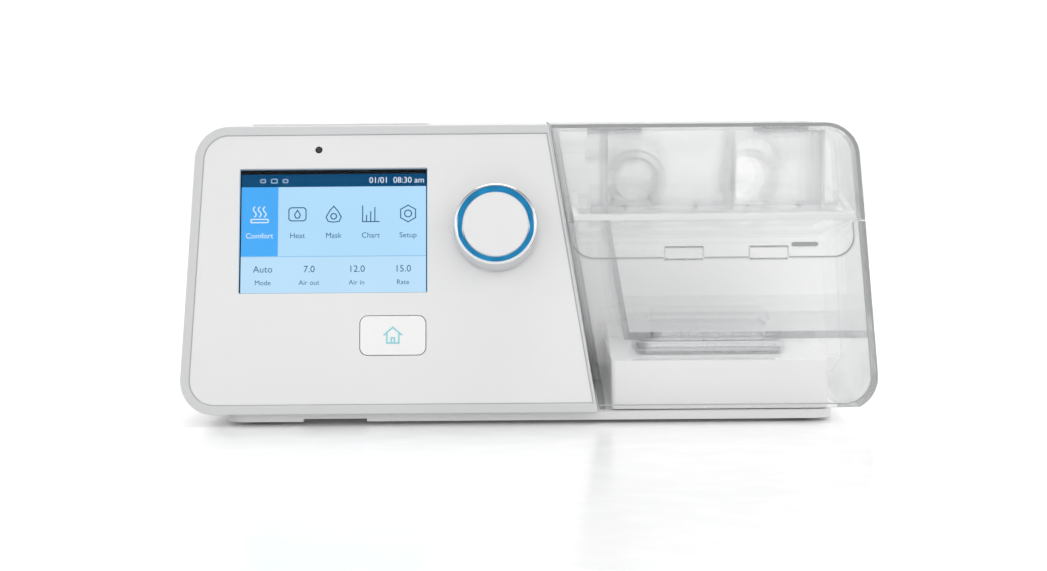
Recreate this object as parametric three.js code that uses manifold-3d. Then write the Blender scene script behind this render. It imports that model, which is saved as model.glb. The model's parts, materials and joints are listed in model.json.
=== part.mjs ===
// A bedside bilevel ventilator with a built-in heated humidifier, in millimetres.
// X runs to the right of a person facing it, Y to the back and Z up.
// The origin is on the table under its middle.
import * as THREE from "three";
import { mergeVertices } from "three/addons/utils/BufferGeometryUtils.js";
import Module from "manifold-3d";

const wasm = await Module();
wasm.setup();

// ---- Driving dimensions ----
const width = 265;
const depth = 145;
const height = 114;
const rad = THREE.MathUtils.degToRad;
const lean = rad(16); // the front leans back
const flare = rad(2.8); // each side leans in towards the top
const cornerR = 13;
const frontY = -depth / 2;
const backY = depth / 2;
const casingBottom = 4.5;
const casingTop = 113.2;
const wall = 2.6;
const gap = 0.3; // running and seam clearance

// The slanted seam between the blower unit and the water tank, seen from the front.
const seamTopX = 8.6;
const seamSlope = 0.163;

const rimWidth = 3.4; // casing edge that frames the front panel
const panelFace = -0.5; // the panel's face lies just under the casing's rim
const panelBack = -3.2;

const screen = { u: -74.7, v: 71.7, w: 72.6, h: 49.3 };
const home = { u: -51.7, v: 30.4, w: 25.5, h: 15.7, r: 3.2 };
const sensor = { u: -80.5, v: 103.7, r: 1.4 };
const knob = { u: -12.2, v: 70.9, r: 16, height: 12, capR: 12.65, ringR: 14.65 };

const rearPanelY = 70;
const dockWallY = 41.3; // front face of the housing behind the tank
const tankBackY = 40.4;
const tankWall = 2.4;
const tankBottom = 5.7;
const splitZ = 75.5; // the lid meets the tank here
const tubFloor = { z0: 31, z1: 33.8, offset: 14.5 };
const hinge = { y: 36.5, z: 109.9, r: 3.1, pinR: 1.4 };
const port = { r: 9.5, z: 89, inletX: 45, outletX: 92 };
const heater = { x: 71, y: -8, w: 58, d: 64, z0: 23.3, z1: 28.2 };
const blower = { x: -62, y: 18, r: 38, z0: 24, split: 44, z1: 58 };

// ---- Solids ----
function solid(geometry) {
  const bare = geometry.index ? geometry.toNonIndexed() : geometry.clone();
  const only = new THREE.BufferGeometry();
  only.setAttribute("position", bare.getAttribute("position"));
  const merged = mergeVertices(only, 1e-4);
  return new wasm.Manifold(
    new wasm.Mesh({
      numProp: 3,
      vertProperties: merged.attributes.position.array,
      triVerts: new Uint32Array(merged.index.array),
    }),
  );
}

function geometryOf(body) {
  const mesh = body.getMesh();
  const geometry = new THREE.BufferGeometry();
  geometry.setAttribute("position", new THREE.BufferAttribute(mesh.vertProperties, 3));
  geometry.setIndex(new THREE.BufferAttribute(mesh.triVerts, 1));
  return geometry;
}

const union = (...bodies) => bodies.reduce((sum, body) => sum.add(body));
const minus = (body, ...cutters) => cutters.reduce((left, cutter) => left.subtract(cutter), body);
const common = (...bodies) => bodies.reduce((left, body) => left.intersect(body));

function block(x0, x1, y0, y1, z0, z1) {
  const geometry = new THREE.BoxGeometry(x1 - x0, y1 - y0, z1 - z0);
  geometry.translate((x0 + x1) / 2, (y0 + y1) / 2, (z0 + z1) / 2);
  return solid(geometry);
}

function cylinderZ(x, y, z0, z1, r, sides = 16, topR = r) {
  const geometry = new THREE.CylinderGeometry(topR, r, z1 - z0, sides);
  geometry.rotateX(Math.PI / 2);
  geometry.translate(x, y, (z0 + z1) / 2);
  return solid(geometry);
}

function cylinderX(x0, x1, y, z, r, sides = 16) {
  const geometry = new THREE.CylinderGeometry(r, r, x1 - x0, sides);
  geometry.rotateZ(Math.PI / 2);
  geometry.translate((x0 + x1) / 2, y, z);
  return solid(geometry);
}

function cylinderY(x, z, y0, y1, r, sides = 20) {
  const geometry = new THREE.CylinderGeometry(r, r, y1 - y0, sides);
  geometry.translate(x, (y0 + y1) / 2, z);
  return solid(geometry);
}

// A solid of revolution about +Z from [radius, height] pairs that close on themselves.
function turned(profile, sides = 28) {
  const points = [...profile, profile[0]].map(([r, z]) => new THREE.Vector2(r, z));
  const geometry = new THREE.LatheGeometry(points, sides);
  geometry.rotateX(Math.PI / 2);
  const body = solid(geometry);
  if (body.volume() > 0) return body;
  const reversed = new THREE.LatheGeometry(points.reverse(), sides);
  reversed.rotateX(Math.PI / 2);
  return solid(reversed);
}

// A front-view outline (x, z) drawn out along Y.
function prismY(shape, y0, y1, curveSegments = 4) {
  const geometry = new THREE.ExtrudeGeometry(shape, { depth: y1 - y0, bevelEnabled: false, curveSegments });
  geometry.rotateX(Math.PI / 2);
  geometry.translate(0, y1, 0);
  return solid(geometry);
}

// A top-view outline (x, y) drawn out along Z.
function prismZ(shape, z0, z1, curveSegments = 2) {
  const geometry = new THREE.ExtrudeGeometry(shape, { depth: z1 - z0, bevelEnabled: false, curveSegments });
  geometry.translate(0, 0, z0);
  return solid(geometry);
}

function roundedRect(x, y, w, h, r) {
  const shape = new THREE.Shape();
  const [x0, x1, y0, y1] = [x - w / 2, x + w / 2, y - h / 2, y + h / 2];
  shape.absarc(x1 - r, y0 + r, r, -Math.PI / 2, 0);
  shape.absarc(x1 - r, y1 - r, r, 0, Math.PI / 2);
  shape.absarc(x0 + r, y1 - r, r, Math.PI / 2, Math.PI);
  shape.absarc(x0 + r, y0 + r, r, Math.PI, Math.PI * 1.5);
  return shape;
}

// The whole front silhouette: a trapezium with round corners, moved in by inset.
function bodyOutline(inset = 0) {
  const low = { x: width / 2 - cornerR, z: casingBottom + cornerR };
  const high = { z: casingTop - cornerR };
  high.x = low.x - (high.z - low.z) * Math.tan(flare);
  const r = cornerR - inset;
  const shape = new THREE.Shape();
  shape.absarc(low.x, low.z, r, -Math.PI / 2, flare);
  shape.absarc(high.x, high.z, r, flare, Math.PI / 2);
  shape.absarc(-high.x, high.z, r, Math.PI / 2, Math.PI - flare);
  shape.absarc(-low.x, low.z, r, Math.PI - flare, Math.PI * 1.5);
  return shape;
}

const seamX = (z) => seamTopX + (casingTop - z) * seamSlope;

// Everything left (side -1) or right (side +1) of the slanted seam, moved away from it by offset.
function besideSeam(side, offset) {
  const far = side * width;
  const shape = new THREE.Shape();
  const [z0, z1] = [-20, height + 20];
  shape.moveTo(seamX(z0) + side * offset, z0);
  shape.lineTo(far, z0);
  shape.lineTo(far, z1);
  shape.lineTo(seamX(z1) + side * offset, z1);
  return prismY(shape, -depth, depth);
}

const leftOf = (offset) => besideSeam(-1, offset);
const rightOf = (offset) => besideSeam(1, offset);

// The panel frame: u to the right, v up the leaning front, w out of it; w = 0 is the casing's rim.
const panelFrame = new THREE.Group();
panelFrame.position.set(0, frontY, casingBottom);
panelFrame.rotation.x = Math.PI / 2 - lean;
panelFrame.updateMatrixWorld(true);

function toPanel(geometry) {
  return solid(geometry.applyMatrix4(panelFrame.matrixWorld));
}

function slab(w0, w1) {
  const geometry = new THREE.BoxGeometry(width * 2, height * 2, w1 - w0);
  geometry.translate(0, height / 2, (w0 + w1) / 2);
  return toPanel(geometry);
}

function panelPrism(shape, w0, w1, curveSegments = 2) {
  const geometry = new THREE.ExtrudeGeometry(shape, { depth: w1 - w0, bevelEnabled: false, curveSegments });
  geometry.translate(0, 0, w0);
  return geometry;
}

function panelDisc(u, v, w0, w1, r, sides = 24) {
  const geometry = new THREE.CylinderGeometry(r, r, w1 - w0, sides);
  geometry.rotateX(Math.PI / 2);
  geometry.translate(u, v, (w0 + w1) / 2);
  return geometry;
}

const behindFront = (w) => slab(w - 400, w);
const rectOf = ({ u, v, w, h, r = 0.6 }, grow = 0) => roundedRect(u, v, w + grow, h + grow, r);

// ---- The scene ----
const ventilator = new THREE.Group();
ventilator.name = "ventilator";
ventilator.add(panelFrame);

const finish = (color, roughness, metalness = 0, more = {}) =>
  new THREE.MeshStandardMaterial({ color, roughness, metalness, ...more });
const materials = {
  white: finish(0xececec, 0.35),
  shell: finish(0xd9dadb, 0.4),
  base: finish(0xcfcfcf, 0.5),
  clear: finish(0xe9ecee, 0.05, 0, { transparent: true, opacity: 0.3 }),
  chrome: finish(0xd8dadc, 0.12, 1),
  steel: finish(0xb8babc, 0.3, 1),
  aluminium: finish(0xc4c6c8, 0.35, 1),
  rubber: finish(0x8f9193, 0.8),
  silicone: finish(0xe4e6e6, 0.6),
  board: finish(0x2f6b46, 0.6),
  dark: finish(0x24262a, 0.5),
  blue: finish(0x1f8fd0, 0.25),
  display: finish(0x9fd2f7, 0.2),
  foam: finish(0x6f7173, 0.95),
};

function part(name, body, material, parent = ventilator) {
  const geometry = body.isBufferGeometry ? body : geometryOf(body);
  geometry.computeVertexNormals();
  const mesh = new THREE.Mesh(geometry, material);
  mesh.name = name;
  parent.add(mesh);
  return mesh;
}

// ---- Blower unit: shells ----
const powerButton = { x: -74, y: -6, w: 69.4, d: 28, z0: casingTop - wall, z1: height };
const bossXs = [powerButton.x - 18, powerButton.x + 18];
const bossY = powerButton.y + 23;
const screwPlaces = [
  [-104, -34],
  [-104, 40],
  [104, -34],
  [104, 30],
];
const screwBoss = { r: 4, boreR: 1.8, boreTop: 11 };
const screwBore = (x, y) => cylinderZ(x, y, -1, screwBoss.boreTop, screwBoss.boreR, 8);
const sdSlot = { x: -36, z: 64, w: 24, t: 2.1, length: 32 };
const dcJack = { x: -4, z: 22, w: 11, h: 11 };
const filterWindow = { x: -89, z: 65, w: 44, h: 50 };
const vents = { x: 60, lowZ: 30, pitch: 7, count: 5 };
const slotH = 2.4;
const duct = { r: 9.4, wall: 1.6, start: new THREE.Vector3(-26, 46, 35.5) };

function ductCurve() {
  return new THREE.CatmullRomCurve3([
    duct.start,
    new THREE.Vector3(-14, 46, 35.5),
    new THREE.Vector3(8, 50, 47),
    new THREE.Vector3(27, 55, 69),
    new THREE.Vector3(40, 56, 84),
    new THREE.Vector3(port.inletX, 52, port.z),
    new THREE.Vector3(port.inletX, 44.6, port.z),
  ]);
}

function ductBody(r) {
  const section = new THREE.Shape();
  section.absarc(0, 0, r, 0, Math.PI * 2);
  const settings = { extrudePath: ductCurve(), steps: 13, bevelEnabled: false, curveSegments: 5 };
  return solid(new THREE.ExtrudeGeometry(section, settings));
}

function mainCasing() {
  const y1 = rearPanelY - gap;
  const outer = common(prismY(bodyOutline(), -depth, y1), leftOf(gap), behindFront(0));
  const inner = common(prismY(bodyOutline(wall), -depth, depth), leftOf(gap + wall));
  const rimInside = common(prismY(bodyOutline(rimWidth), -depth, 0), leftOf(gap + 1.1));
  const pocket = common(rimInside, slab(panelBack - gap, 20));
  const opening = roundedRect(powerButton.x, powerButton.y, powerButton.w + 0.8, powerButton.d + 0.8, 4.4);
  let body = minus(outer, inner, pocket, prismZ(opening, casingTop - 6, casingTop + 6));
  for (const x of bossXs) {
    const boss = cylinderZ(x, bossY, 104.3, casingTop - 1, 3, 12);
    body = union(body, boss);
  }
  for (const [x, y] of screwPlaces.slice(0, 2)) {
    const boss = cylinderZ(x, y, casingBottom + 0.5, 14, screwBoss.r, 10);
    body = minus(union(body, boss), screwBore(x, y));
  }
  return minus(body, ductBody(duct.r + duct.wall + gap));
}

function frontPanel() {
  const plate = common(
    prismY(bodyOutline(rimWidth + gap), -depth, 0),
    leftOf(gap + 1.4),
    slab(panelBack, panelFace),
  );
  return minus(
    plate,
    toPanel(panelPrism(rectOf(screen), -10, 10)),
    toPanel(panelPrism(rectOf(home), -10, 10)),
    toPanel(panelDisc(sensor.u, sensor.v, -10, 10, sensor.r, 16)),
    toPanel(panelDisc(knob.u, knob.v, -10, 10, 6)),
  );
}

function rearPanel() {
  const outletHole = cylinderY(port.outletX, port.z, 60, 80, 18.5 + 3 * gap, 28);
  const { x, z, w, h } = filterWindow;
  const window = prismY(roundedRect(x, z, w, h, 3), 60, 80, 2);
  const jackHole = block(dcJack.x - 6, dcJack.x + 6, 60, 80, dcJack.z - 6, dcJack.z + 6);
  const cardHole = block(sdSlot.x - 12.5, sdSlot.x + 12.5, 60, 80, sdSlot.z - 1.6, sdSlot.z + 1.6);
  let plate = minus(prismY(bodyOutline(), rearPanelY, backY), outletHole, window, jackHole, cardHole);
  for (let i = 0; i < vents.count; i++) {
    const slot = roundedRect(vents.x, vents.lowZ + i * vents.pitch, 30, slotH, 1.1);
    plate = minus(plate, prismY(slot, 60, 80, 1));
  }
  // Shallow seat that the filter door closes into.
  const seat = roundedRect(x, z, w + 7, h + 7, 4);
  return minus(plate, prismY(seat, backY - 1.3, backY + 5, 2));
}

function baseTray() {
  const [x, y0, y1] = [115.4, -68.5, 66];
  const plan = roundedRect(0, (y0 + y1) / 2, 2 * x, y1 - y0, 9);
  let body = prismZ(plan, 0.5, casingBottom - gap);
  body = minus(body, block(-85.8, -61.6, -80, -46, -1, 2.4)); // strap notch under the front edge
  // Three lightening pockets in its upper face.
  for (const [px, w] of [
    [-90, 30],
    [0, 48],
    [58, 48],
  ])
    body = minus(body, prismZ(roundedRect(px, 12, w, 84, 4), 2.3, 9, 1));
  for (const [fx, fy] of footPlaces) body = minus(body, cylinderZ(fx, fy, -1, 2.6, 7.4));
  for (const [sx, sy] of screwPlaces) {
    const headSeat = cylinderZ(sx, sy, -1, 2.7, 3.1, 10);
    body = minus(body, headSeat, screwBore(sx, sy));
  }
  return body;
}

const footPlaces = [
  [-102, -54],
  [102, -54],
  [-102, 54],
  [102, 54],
];

part("main_casing", mainCasing(), materials.shell);
part("front_panel", frontPanel(), materials.white);
part("rear_panel", rearPanel(), materials.shell);
part("base_tray", baseTray(), materials.base);

footPlaces.forEach(([x, y], i) => {
  part("foot_" + (i + 1), cylinderZ(x, y, 0, 2.3, 6.9), materials.rubber);
});
screwPlaces.forEach(([x, y], i) => {
  const head = cylinderZ(x, y, 0.9, 2.4, 2.7, 10);
  part("base_screw_" + (i + 1), union(head, cylinderZ(x, y, 2, 10.4, 1.4, 8)), materials.steel);
});

// ---- Front: display, sensor, home key ----
function inPanel(name, geometry, material) {
  return part(name, geometry, material, panelFrame);
}

// The window and the face of the display fill the opening; the display's frame lies behind the panel.
const inOpening = (w0, w1) => panelPrism(rectOf({ ...screen, r: 0.5 }, -2 * gap), w0, w1);

function displayModule() {
  const frame = solid(panelPrism(rectOf({ ...screen, r: 1.2 }, 7), panelBack - 5, panelBack - gap));
  return geometryOf(union(frame, solid(inOpening(panelBack - 4, -2.1))));
}
inPanel("screen_window", inOpening(-1.8, panelFace - 0.2), materials.clear);
inPanel("lcd_module", displayModule(), materials.display);
const sensorPin = panelDisc(sensor.u, sensor.v, panelBack, panelFace - 0.2, sensor.r - gap, 16);
inPanel("light_sensor", sensorPin, materials.dark);
inPanel("main_board", panelPrism(roundedRect(-60, 55, 116, 88, 2), -21.6, -20), materials.board);
inPanel("home_switch", panelPrism(roundedRect(home.u, home.v, 6, 6, 0.6), -8.6, -5.4, 3), materials.dark);

function homeKey() {
  const flangeFace = panelBack - gap - 0.1;
  const cap = solid(panelPrism(rectOf(home, -2 * gap), flangeFace - 0.5, panelFace + 0.2));
  const flange = solid(panelPrism(rectOf({ ...home, r: 4 }, 3), flangeFace - 1, flangeFace));
  return geometryOf(union(cap, flange));
}
inPanel("home_button", homeKey(), materials.white);

// ---- Knob and its encoder, modelled about their own axis ----
const knobFrame = new THREE.Group();
knobFrame.position.set(knob.u, knob.v, 0);
panelFrame.add(knobFrame);

function onKnob(name, body, material) {
  return part(name, body, material, knobFrame);
}

const { r: kr, height: kh, capR, ringR } = knob;
const shaftR = 3;
onKnob(
  "knob_skirt",
  turned([
    [shaftR + gap, 1.4],
    [kr - 2.2, 1.4],
    [kr - 2.2, 0.3],
    [kr, 0.3],
    [kr, kh - 0.9],
    [kr - 0.35, kh - 0.25],
    [kr - 0.9, kh],
    [ringR + 0.2, kh - 0.4],
    [ringR + 0.2, 7.4],
    [shaftR + gap, 7.4],
  ]),
  materials.chrome,
);
onKnob(
  "knob_light_ring",
  turned([
    [capR + gap, 7.7],
    [ringR - 0.1, 7.7],
    [ringR - 0.1, kh - 0.7],
    [capR + gap, kh - 1.6],
  ]),
  materials.blue,
);
onKnob(
  "knob_cap",
  turned([
    [0, 7.8],
    [capR, 7.8],
    [capR, kh - 0.9],
    [capR - 0.7, kh - 0.35],
    [capR - 3, kh - 0.2],
    [0, kh - 0.1],
  ]),
  materials.white,
);
onKnob("encoder_shaft", turned([[0, -12], [shaftR, -12], [shaftR, 6.9], [0, 6.9]], 14), materials.steel);
onKnob("encoder_stem", turned([[0, -14.6], [4, -14.6], [4, -12.4], [0, -12.4]], 14), materials.dark);

function encoderBody() {
  const can = solid(panelPrism(roundedRect(0, 0, 14, 14, 1), -19, -5, 3));
  const barrel = turned([[0, -6], [5, -6], [5, -3.6], [0, -3.6]], 14);
  const boreR = shaftR + gap;
  const bore = turned([[0, -20], [4.4, -20], [4.4, -11.6], [boreR, -11.6], [boreR, -1], [0, -1]], 14);
  return minus(union(can, barrel), bore);
}
onKnob("encoder_body", encoderBody(), materials.dark);

// ---- Start bar on the top, with its switch ----
function startBar() {
  const { x, y, w, d, z0, z1 } = powerButton;
  const flange = prismZ(roundedRect(x, y, w + 3, d + 3, 5), z0 - 1.4, z0 - gap);
  return union(prismZ(roundedRect(x, y, w, d, 4), z0 - 1, z1), flange);
}
part("power_button", startBar(), materials.white);

function startSwitch() {
  const { x, y } = powerButton;
  return block(x - 4, x + 4, y - 4, y + 4, 104.3, 107.6);
}
const startBoard = roundedRect(powerButton.x, powerButton.y + 8, 48, 34, 2);
part("power_board", prismZ(startBoard, 102.4, 104), materials.board);
part("power_switch", startSwitch(), materials.dark);

// ---- Blower ----
function blowerBase() {
  const { x, y, r, z0, split } = blower;
  const { start, wall: hoseWall } = duct;
  const spigot = cylinderX(-48, start.x - gap, start.y, start.z, duct.r + hoseWall + 0.4);
  const cup = union(
    cylinderZ(x, y, z0, split, r, 24),
    minus(spigot, cylinderZ(x, y, split, split + 20, r + gap, 24)),
  );
  const hollow = cylinderZ(x, y, z0 + 2, split + 5, r - 2, 24);
  return minus(cup, hollow, cylinderX(-48, 0, start.y, start.z, duct.r));
}

function blowerCover() {
  const { x, y, r, split, z1 } = blower;
  const dome = union(
    cylinderZ(x, y, split + gap, z1 - 6, r, 24),
    cylinderZ(x, y, z1 - 6.01, z1, r, 24, r - 8),
    cylinderZ(x, y, z1 - 1, z1 + 8, 15, 20),
  );
  const hollow = union(
    cylinderZ(x, y, split - 5, z1 - 7, r - 2, 24),
    cylinderZ(x, y, z1 - 7.01, z1 - 2, r - 2, 24, r - 9),
    cylinderZ(x, y, split, z1 + 12, 12.5, 20),
  );
  return minus(dome, hollow);
}

function impeller() {
  const { x, y } = blower;
  const [z0, bladeTop, bladeCount] = [39, 50, 11];
  let body = union(cylinderZ(x, y, z0, z0 + 2, 29, 24), cylinderZ(x, y, z0, bladeTop, 7, 24, 4));
  for (let i = 0; i < bladeCount; i++) {
    const blade = new THREE.BoxGeometry(21, 1.4, bladeTop - z0 - 0.5);
    blade.rotateZ(0.5);
    blade.translate(17, -3, 0);
    blade.rotateZ((i * Math.PI * 2) / bladeCount);
    blade.translate(x, y, (z0 + bladeTop) / 2);
    body = union(body, solid(blade));
  }
  return minus(body, cylinderZ(x, y, z0 - 5, z0 + 8, 2.3, 16));
}

part("blower_base", blowerBase(), materials.dark);
part("blower_cover", blowerCover(), materials.dark);
part("impeller", impeller(), materials.white);
part("motor_shaft", cylinderZ(blower.x, blower.y, 27.5, 46.5, 2, 16), materials.steel);

function motorStator() {
  const { x, y } = blower;
  const bearingHole = cylinderZ(x, y, 27.2, 60, 2.4, 16);
  return minus(cylinderZ(x, y, 26.3, 37.5, 15, 20), bearingHole);
}
part("motor_stator", motorStator(), materials.aluminium);

function blowerMount() {
  const { x, y, z0 } = blower;
  const cone = cylinderZ(x, y, casingBottom + wall + gap, z0 - gap, 34, 24, 37);
  return minus(cone, cylinderZ(x, y, 0, 40, 27, 20));
}
part("blower_mount", blowerMount(), materials.silicone);

// The hollow is carried a little past both mouths, so that they are open.
function airDuct() {
  const { start, r } = duct;
  const startMouth = cylinderX(start.x - 1, start.x + 1, start.y, start.z, r - 0.2);
  const endMouth = cylinderY(port.inletX, port.z, 43.6, 46, r - 0.2);
  return minus(ductBody(r + duct.wall), ductBody(r), startMouth, endMouth);
}
part("air_duct", airDuct(), materials.silicone);

// ---- Air intake at the back ----
function mufflerBox() {
  const { x, z, w, h } = filterWindow;
  const [w0, h0] = [w + 6, h + 6];
  const outer = block(x - w0 / 2, x + w0 / 2, 58.5, rearPanelY - gap, z - h0 / 2, z + h0 / 2);
  const inner = block(x - w / 2, x + w / 2, 60.5, 80, z - h / 2, z + h / 2);
  return minus(outer, inner, cylinderY(x + 4, z + 4, 50, 70, 11, 24));
}
part("filter_housing", mufflerBox(), materials.white);

function airFilter() {
  const { x, z } = filterWindow;
  const [w, h] = [filterWindow.w / 2 - gap, filterWindow.h / 2 - gap];
  return block(x - w, x + w, 61, 69.5, z - h, z + h);
}
part("air_filter", airFilter(), materials.foam);

function filterCover() {
  const { x, z, w, h } = filterWindow;
  const [slotCount, pitch] = [7, 6];
  const lowSlot = z - ((slotCount - 1) / 2) * pitch;
  let door = prismY(roundedRect(x, z, w + 6.2, h + 6.2, 3.6), backY - 1, backY, 2);
  for (let i = 0; i < slotCount; i++) {
    const slot = roundedRect(x, lowSlot + i * pitch, 34, slotH, 1.1);
    door = minus(door, prismY(slot, 60, 80, 1));
  }
  return door;
}
part("filter_cover", filterCover(), materials.shell);

// ---- Sockets at the back ----
function dcInlet() {
  const { x, z, w, h } = dcJack;
  const shell = block(x - w / 2, x + w / 2, 57, backY - 0.4, z - h / 2, z + h / 2);
  const pin = cylinderY(x, z, 58, backY - 2, 1, 12);
  return union(minus(shell, cylinderY(x, z, 60, 80, 3.4, 24)), pin);
}
part("dc_inlet", dcInlet(), materials.dark);

function cardSocket() {
  const { x, z } = sdSlot;
  const shell = block(x - 14, x + 14, 37.5, rearPanelY - gap, z - 2.4, z + 2.4);
  return minus(shell, block(x - 12.4, x + 12.4, 39.5, 80, z - 1.4, z + 1.4));
}
part("sd_socket", cardSocket(), materials.steel);

function memoryCard() {
  const { x, z, w, t, length } = sdSlot;
  const back = backY - 0.2;
  return block(x - w / 2, x + w / 2, back - length, back, z - t / 2, z + t / 2);
}
part("sd_card", memoryCard(), materials.dark);
part("speaker", cylinderZ(-8, -10, 16, 22, 9, 24), materials.dark);

// ---- Dock for the water tank ----
function dockHousing() {
  const y1 = rearPanelY - gap;
  const outer = common(prismY(bodyOutline(), dockWallY, y1), rightOf(gap));
  const inner = common(prismY(bodyOutline(wall), dockWallY + wall, 100), rightOf(gap + wall));
  return minus(
    outer,
    inner,
    cylinderY(port.inletX, port.z, 30, 60, port.r + 3, 20),
    cylinderY(port.outletX, port.z, 30, 60, port.r + 3, 20),
    ductBody(duct.r + duct.wall + gap),
  );
}

function dockFloor() {
  const [x0, x1, y0, y1, z0, z1] = [31.5, 114, -63, dockWallY - gap, casingBottom, 23];
  let body = minus(
    block(x0, x1, y0, y1, z0, z1),
    block(x0 + wall, x1 - wall, y0 + wall, y1 - wall, z0 - 5, z1 - wall),
  );
  for (const [x, y] of screwPlaces.slice(2)) {
    const boss = cylinderZ(x, y, z0, z1 - 1, screwBoss.r, 10);
    body = minus(union(body, boss), screwBore(x, y));
  }
  return body;
}
part("dock_housing", dockHousing(), materials.shell);
part("dock_floor", dockFloor(), materials.white);

// A flat plate over the heater, drawn in from its edges by inset, with corners of radius r.
function heaterPlate(inset, r, z0, z1) {
  const plan = roundedRect(heater.x, heater.y, heater.w - inset, heater.d - inset, r);
  return prismZ(plan, z0, z1);
}
part("heater_film", heaterPlate(4, 5, heater.z0, 24), materials.dark);
part("heater_plate", heaterPlate(0, 7, 24.3, heater.z1), materials.aluminium);

// A silicone ring that joins the tank's port to the dock.
function portSeal(x) {
  const outer = cylinderY(x, port.z, tankBackY + gap, dockWallY + wall, port.r + 2.7, 20);
  return minus(outer, cylinderY(x, port.z, 30, 60, port.r, 20));
}
part("inlet_seal", portSeal(port.inletX), materials.silicone);
part("outlet_seal", portSeal(port.outletX), materials.silicone);

// 22 mm hose stub standing in a round recess, so that a hose cuff pushes over it.
function outletPort() {
  const body = turned([
    [9.4, 44.5],
    [11.8, 44.5],
    [11.8, 49],
    [18.5, 49],
    [18.5, backY],
    [17, backY],
    [17, 51],
    [11.2, 51],
    [11, backY - 0.6],
    [10.6, backY],
    [9.4, backY],
  ]);
  return body.rotate([-90, 0, 0]).translate([port.outletX, 0, port.z]);
}
part("outlet_port", outletPort(), materials.white);

// ---- Water tank ----
const sheetT = 3; // front of the tank and skin of the lid
const innerLayer = 0.8; // what the flap leaves of the front behind it
const above = (z) => block(-200, 200, -200, 200, z, 300);
const below = (z) => block(-200, 200, -200, 200, -100, z);

function skin(t) {
  return minus(prismY(bodyOutline(), -depth, tankBackY), prismY(bodyOutline(t), -depth * 2, depth));
}
const tankSide = 0.6; // clearance between the tank and the slanted wall
const backEdge = 33; // rear of the lid
const sealY = backEdge - 2.6 - gap; // rear of the lid's seal
const tankBand = (offset, t, y1) =>
  minus(common(prismY(bodyOutline(), -depth, y1), rightOf(offset)), rightOf(offset + t));

// The lid's grip flap, in the front view.
const flap = { right: 125.4, bottom: 61.6, rLeft: 9, rRight: 8 };
function flapOutline(grow = 0) {
  const [z0, z1] = [flap.bottom - grow, splitZ + 1.5];
  const left = (z) => seamX(z) + tankSide - grow;
  const { right, rLeft, rRight } = flap;
  const shape = new THREE.Shape();
  const cx = left(z0 + rLeft) + rLeft;
  shape.moveTo(right + grow - 0.3, z1);
  shape.lineTo(left(z1), z1);
  shape.absarc(cx, z0 + rLeft, rLeft, Math.PI, Math.PI * 1.5);
  shape.absarc(right + grow - rRight, z0 + rRight, rRight, Math.PI * 1.5, Math.PI * 2);
  return shape;
}

const latch = { w: 14.8, v0: 59.4, v1: 64, us: [59.8, 92.3] };
function latchRect(u, grow) {
  const { w, v0, v1 } = latch;
  return roundedRect(u, (v0 + v1) / 2, w + grow, v1 - v0 + grow, 0.7);
}

const pinBore = () => cylinderX(0, 140, hinge.y, hinge.z, hinge.pinR + gap, 16);
const earRanges = [
  [25, 30],
  [42.6, 47.6],
  [94, 99],
  [111.6, 116.6],
];
const knuckleRanges = [
  [30.3, 42.3],
  [99.3, 111.3],
];

const frontSheet = () => common(prismY(bodyOutline(), -depth, 60), rightOf(tankSide), slab(-sheetT, 0));

function tankShell() {
  const sideSkin = common(skin(tankWall), block(117, 200, -depth, tankBackY, 0, 200), behindFront(0));
  const leftSkin = common(tankBand(tankSide, tankWall, tankBackY), behindFront(0));
  const tubBand = tankBand(tubFloor.offset, tankWall, tankBackY);
  const tubWall = common(tubBand, behindFront(-1), above(tubFloor.z0));
  const floor = common(
    prismY(bodyOutline(1), -depth, tankBackY),
    rightOf(tubFloor.offset),
    behindFront(-1),
    above(tubFloor.z0),
    below(tubFloor.z1),
  );
  const walls = union(frontSheet(), sideSkin, leftSkin, tubWall, floor);
  return common(walls, above(tankBottom), below(splitZ - gap / 2));
}

// The upright back wall and, at its foot, the ledge that the lid's seal presses on.
function tankBack() {
  const back = common(
    prismY(bodyOutline(1), tankBackY - tankWall, tankBackY),
    rightOf(tankSide),
    above(tankBottom + 3),
    below(105),
  );
  const ledge = common(
    prismY(bodyOutline(1), sealY - 3.3, tankBackY - 1),
    rightOf(tankSide + 1),
    above(splitZ - 2.6),
    below(splitZ - gap / 2),
  );
  const ears = earRanges.map(([x0, x1]) =>
    union(
      cylinderX(x0, x1, hinge.y, hinge.z, hinge.r),
      block(x0, x1, hinge.y, tankBackY - 0.6, 102, hinge.z),
    ),
  );
  return union(back, ledge, ...ears);
}

function tankBody() {
  const pocketW = innerLayer - sheetT - gap;
  const flapPocket = common(prismY(flapOutline(gap), -depth, 60), slab(pocketW, 20));
  const latchPockets = latch.us.map((u) => toPanel(panelPrism(latchRect(u, 2 * gap), pocketW, 5)));
  // The tank passes over the dock's floor as it slides in.
  const dockClearance = block(29, 115.5, -depth, 50, 0, heater.z1 + 2 * gap);
  return minus(
    union(tankShell(), tankBack()),
    flapPocket,
    ...latchPockets,
    common(dockClearance, behindFront(-sheetT)),
    cylinderY(port.inletX, port.z, 30, 60, port.r, 20),
    cylinderY(port.outletX, port.z, 30, 60, port.r, 20),
    heaterPlate(12, 5, 20, 40),
    pinBore(),
  );
}

function lidShell() {
  const shellSkin = common(
    minus(prismY(bodyOutline(), -depth, backEdge), prismY(bodyOutline(sheetT), -depth * 2, depth)),
    rightOf(tankSide),
    behindFront(0),
  );
  const leftSkin = common(tankBand(tankSide, tankWall, backEdge), behindFront(0));
  const rear = minus(
    common(prismY(bodyOutline(1), backEdge - 2.6, backEdge), rightOf(tankSide)),
    cylinderY(port.inletX, port.z, 0, 60, port.r + 1),
    cylinderY(port.outletX, port.z, 0, 60, port.r + 1),
  );
  return common(union(frontSheet(), shellSkin, leftSkin, rear), above(splitZ + gap / 2));
}

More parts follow.
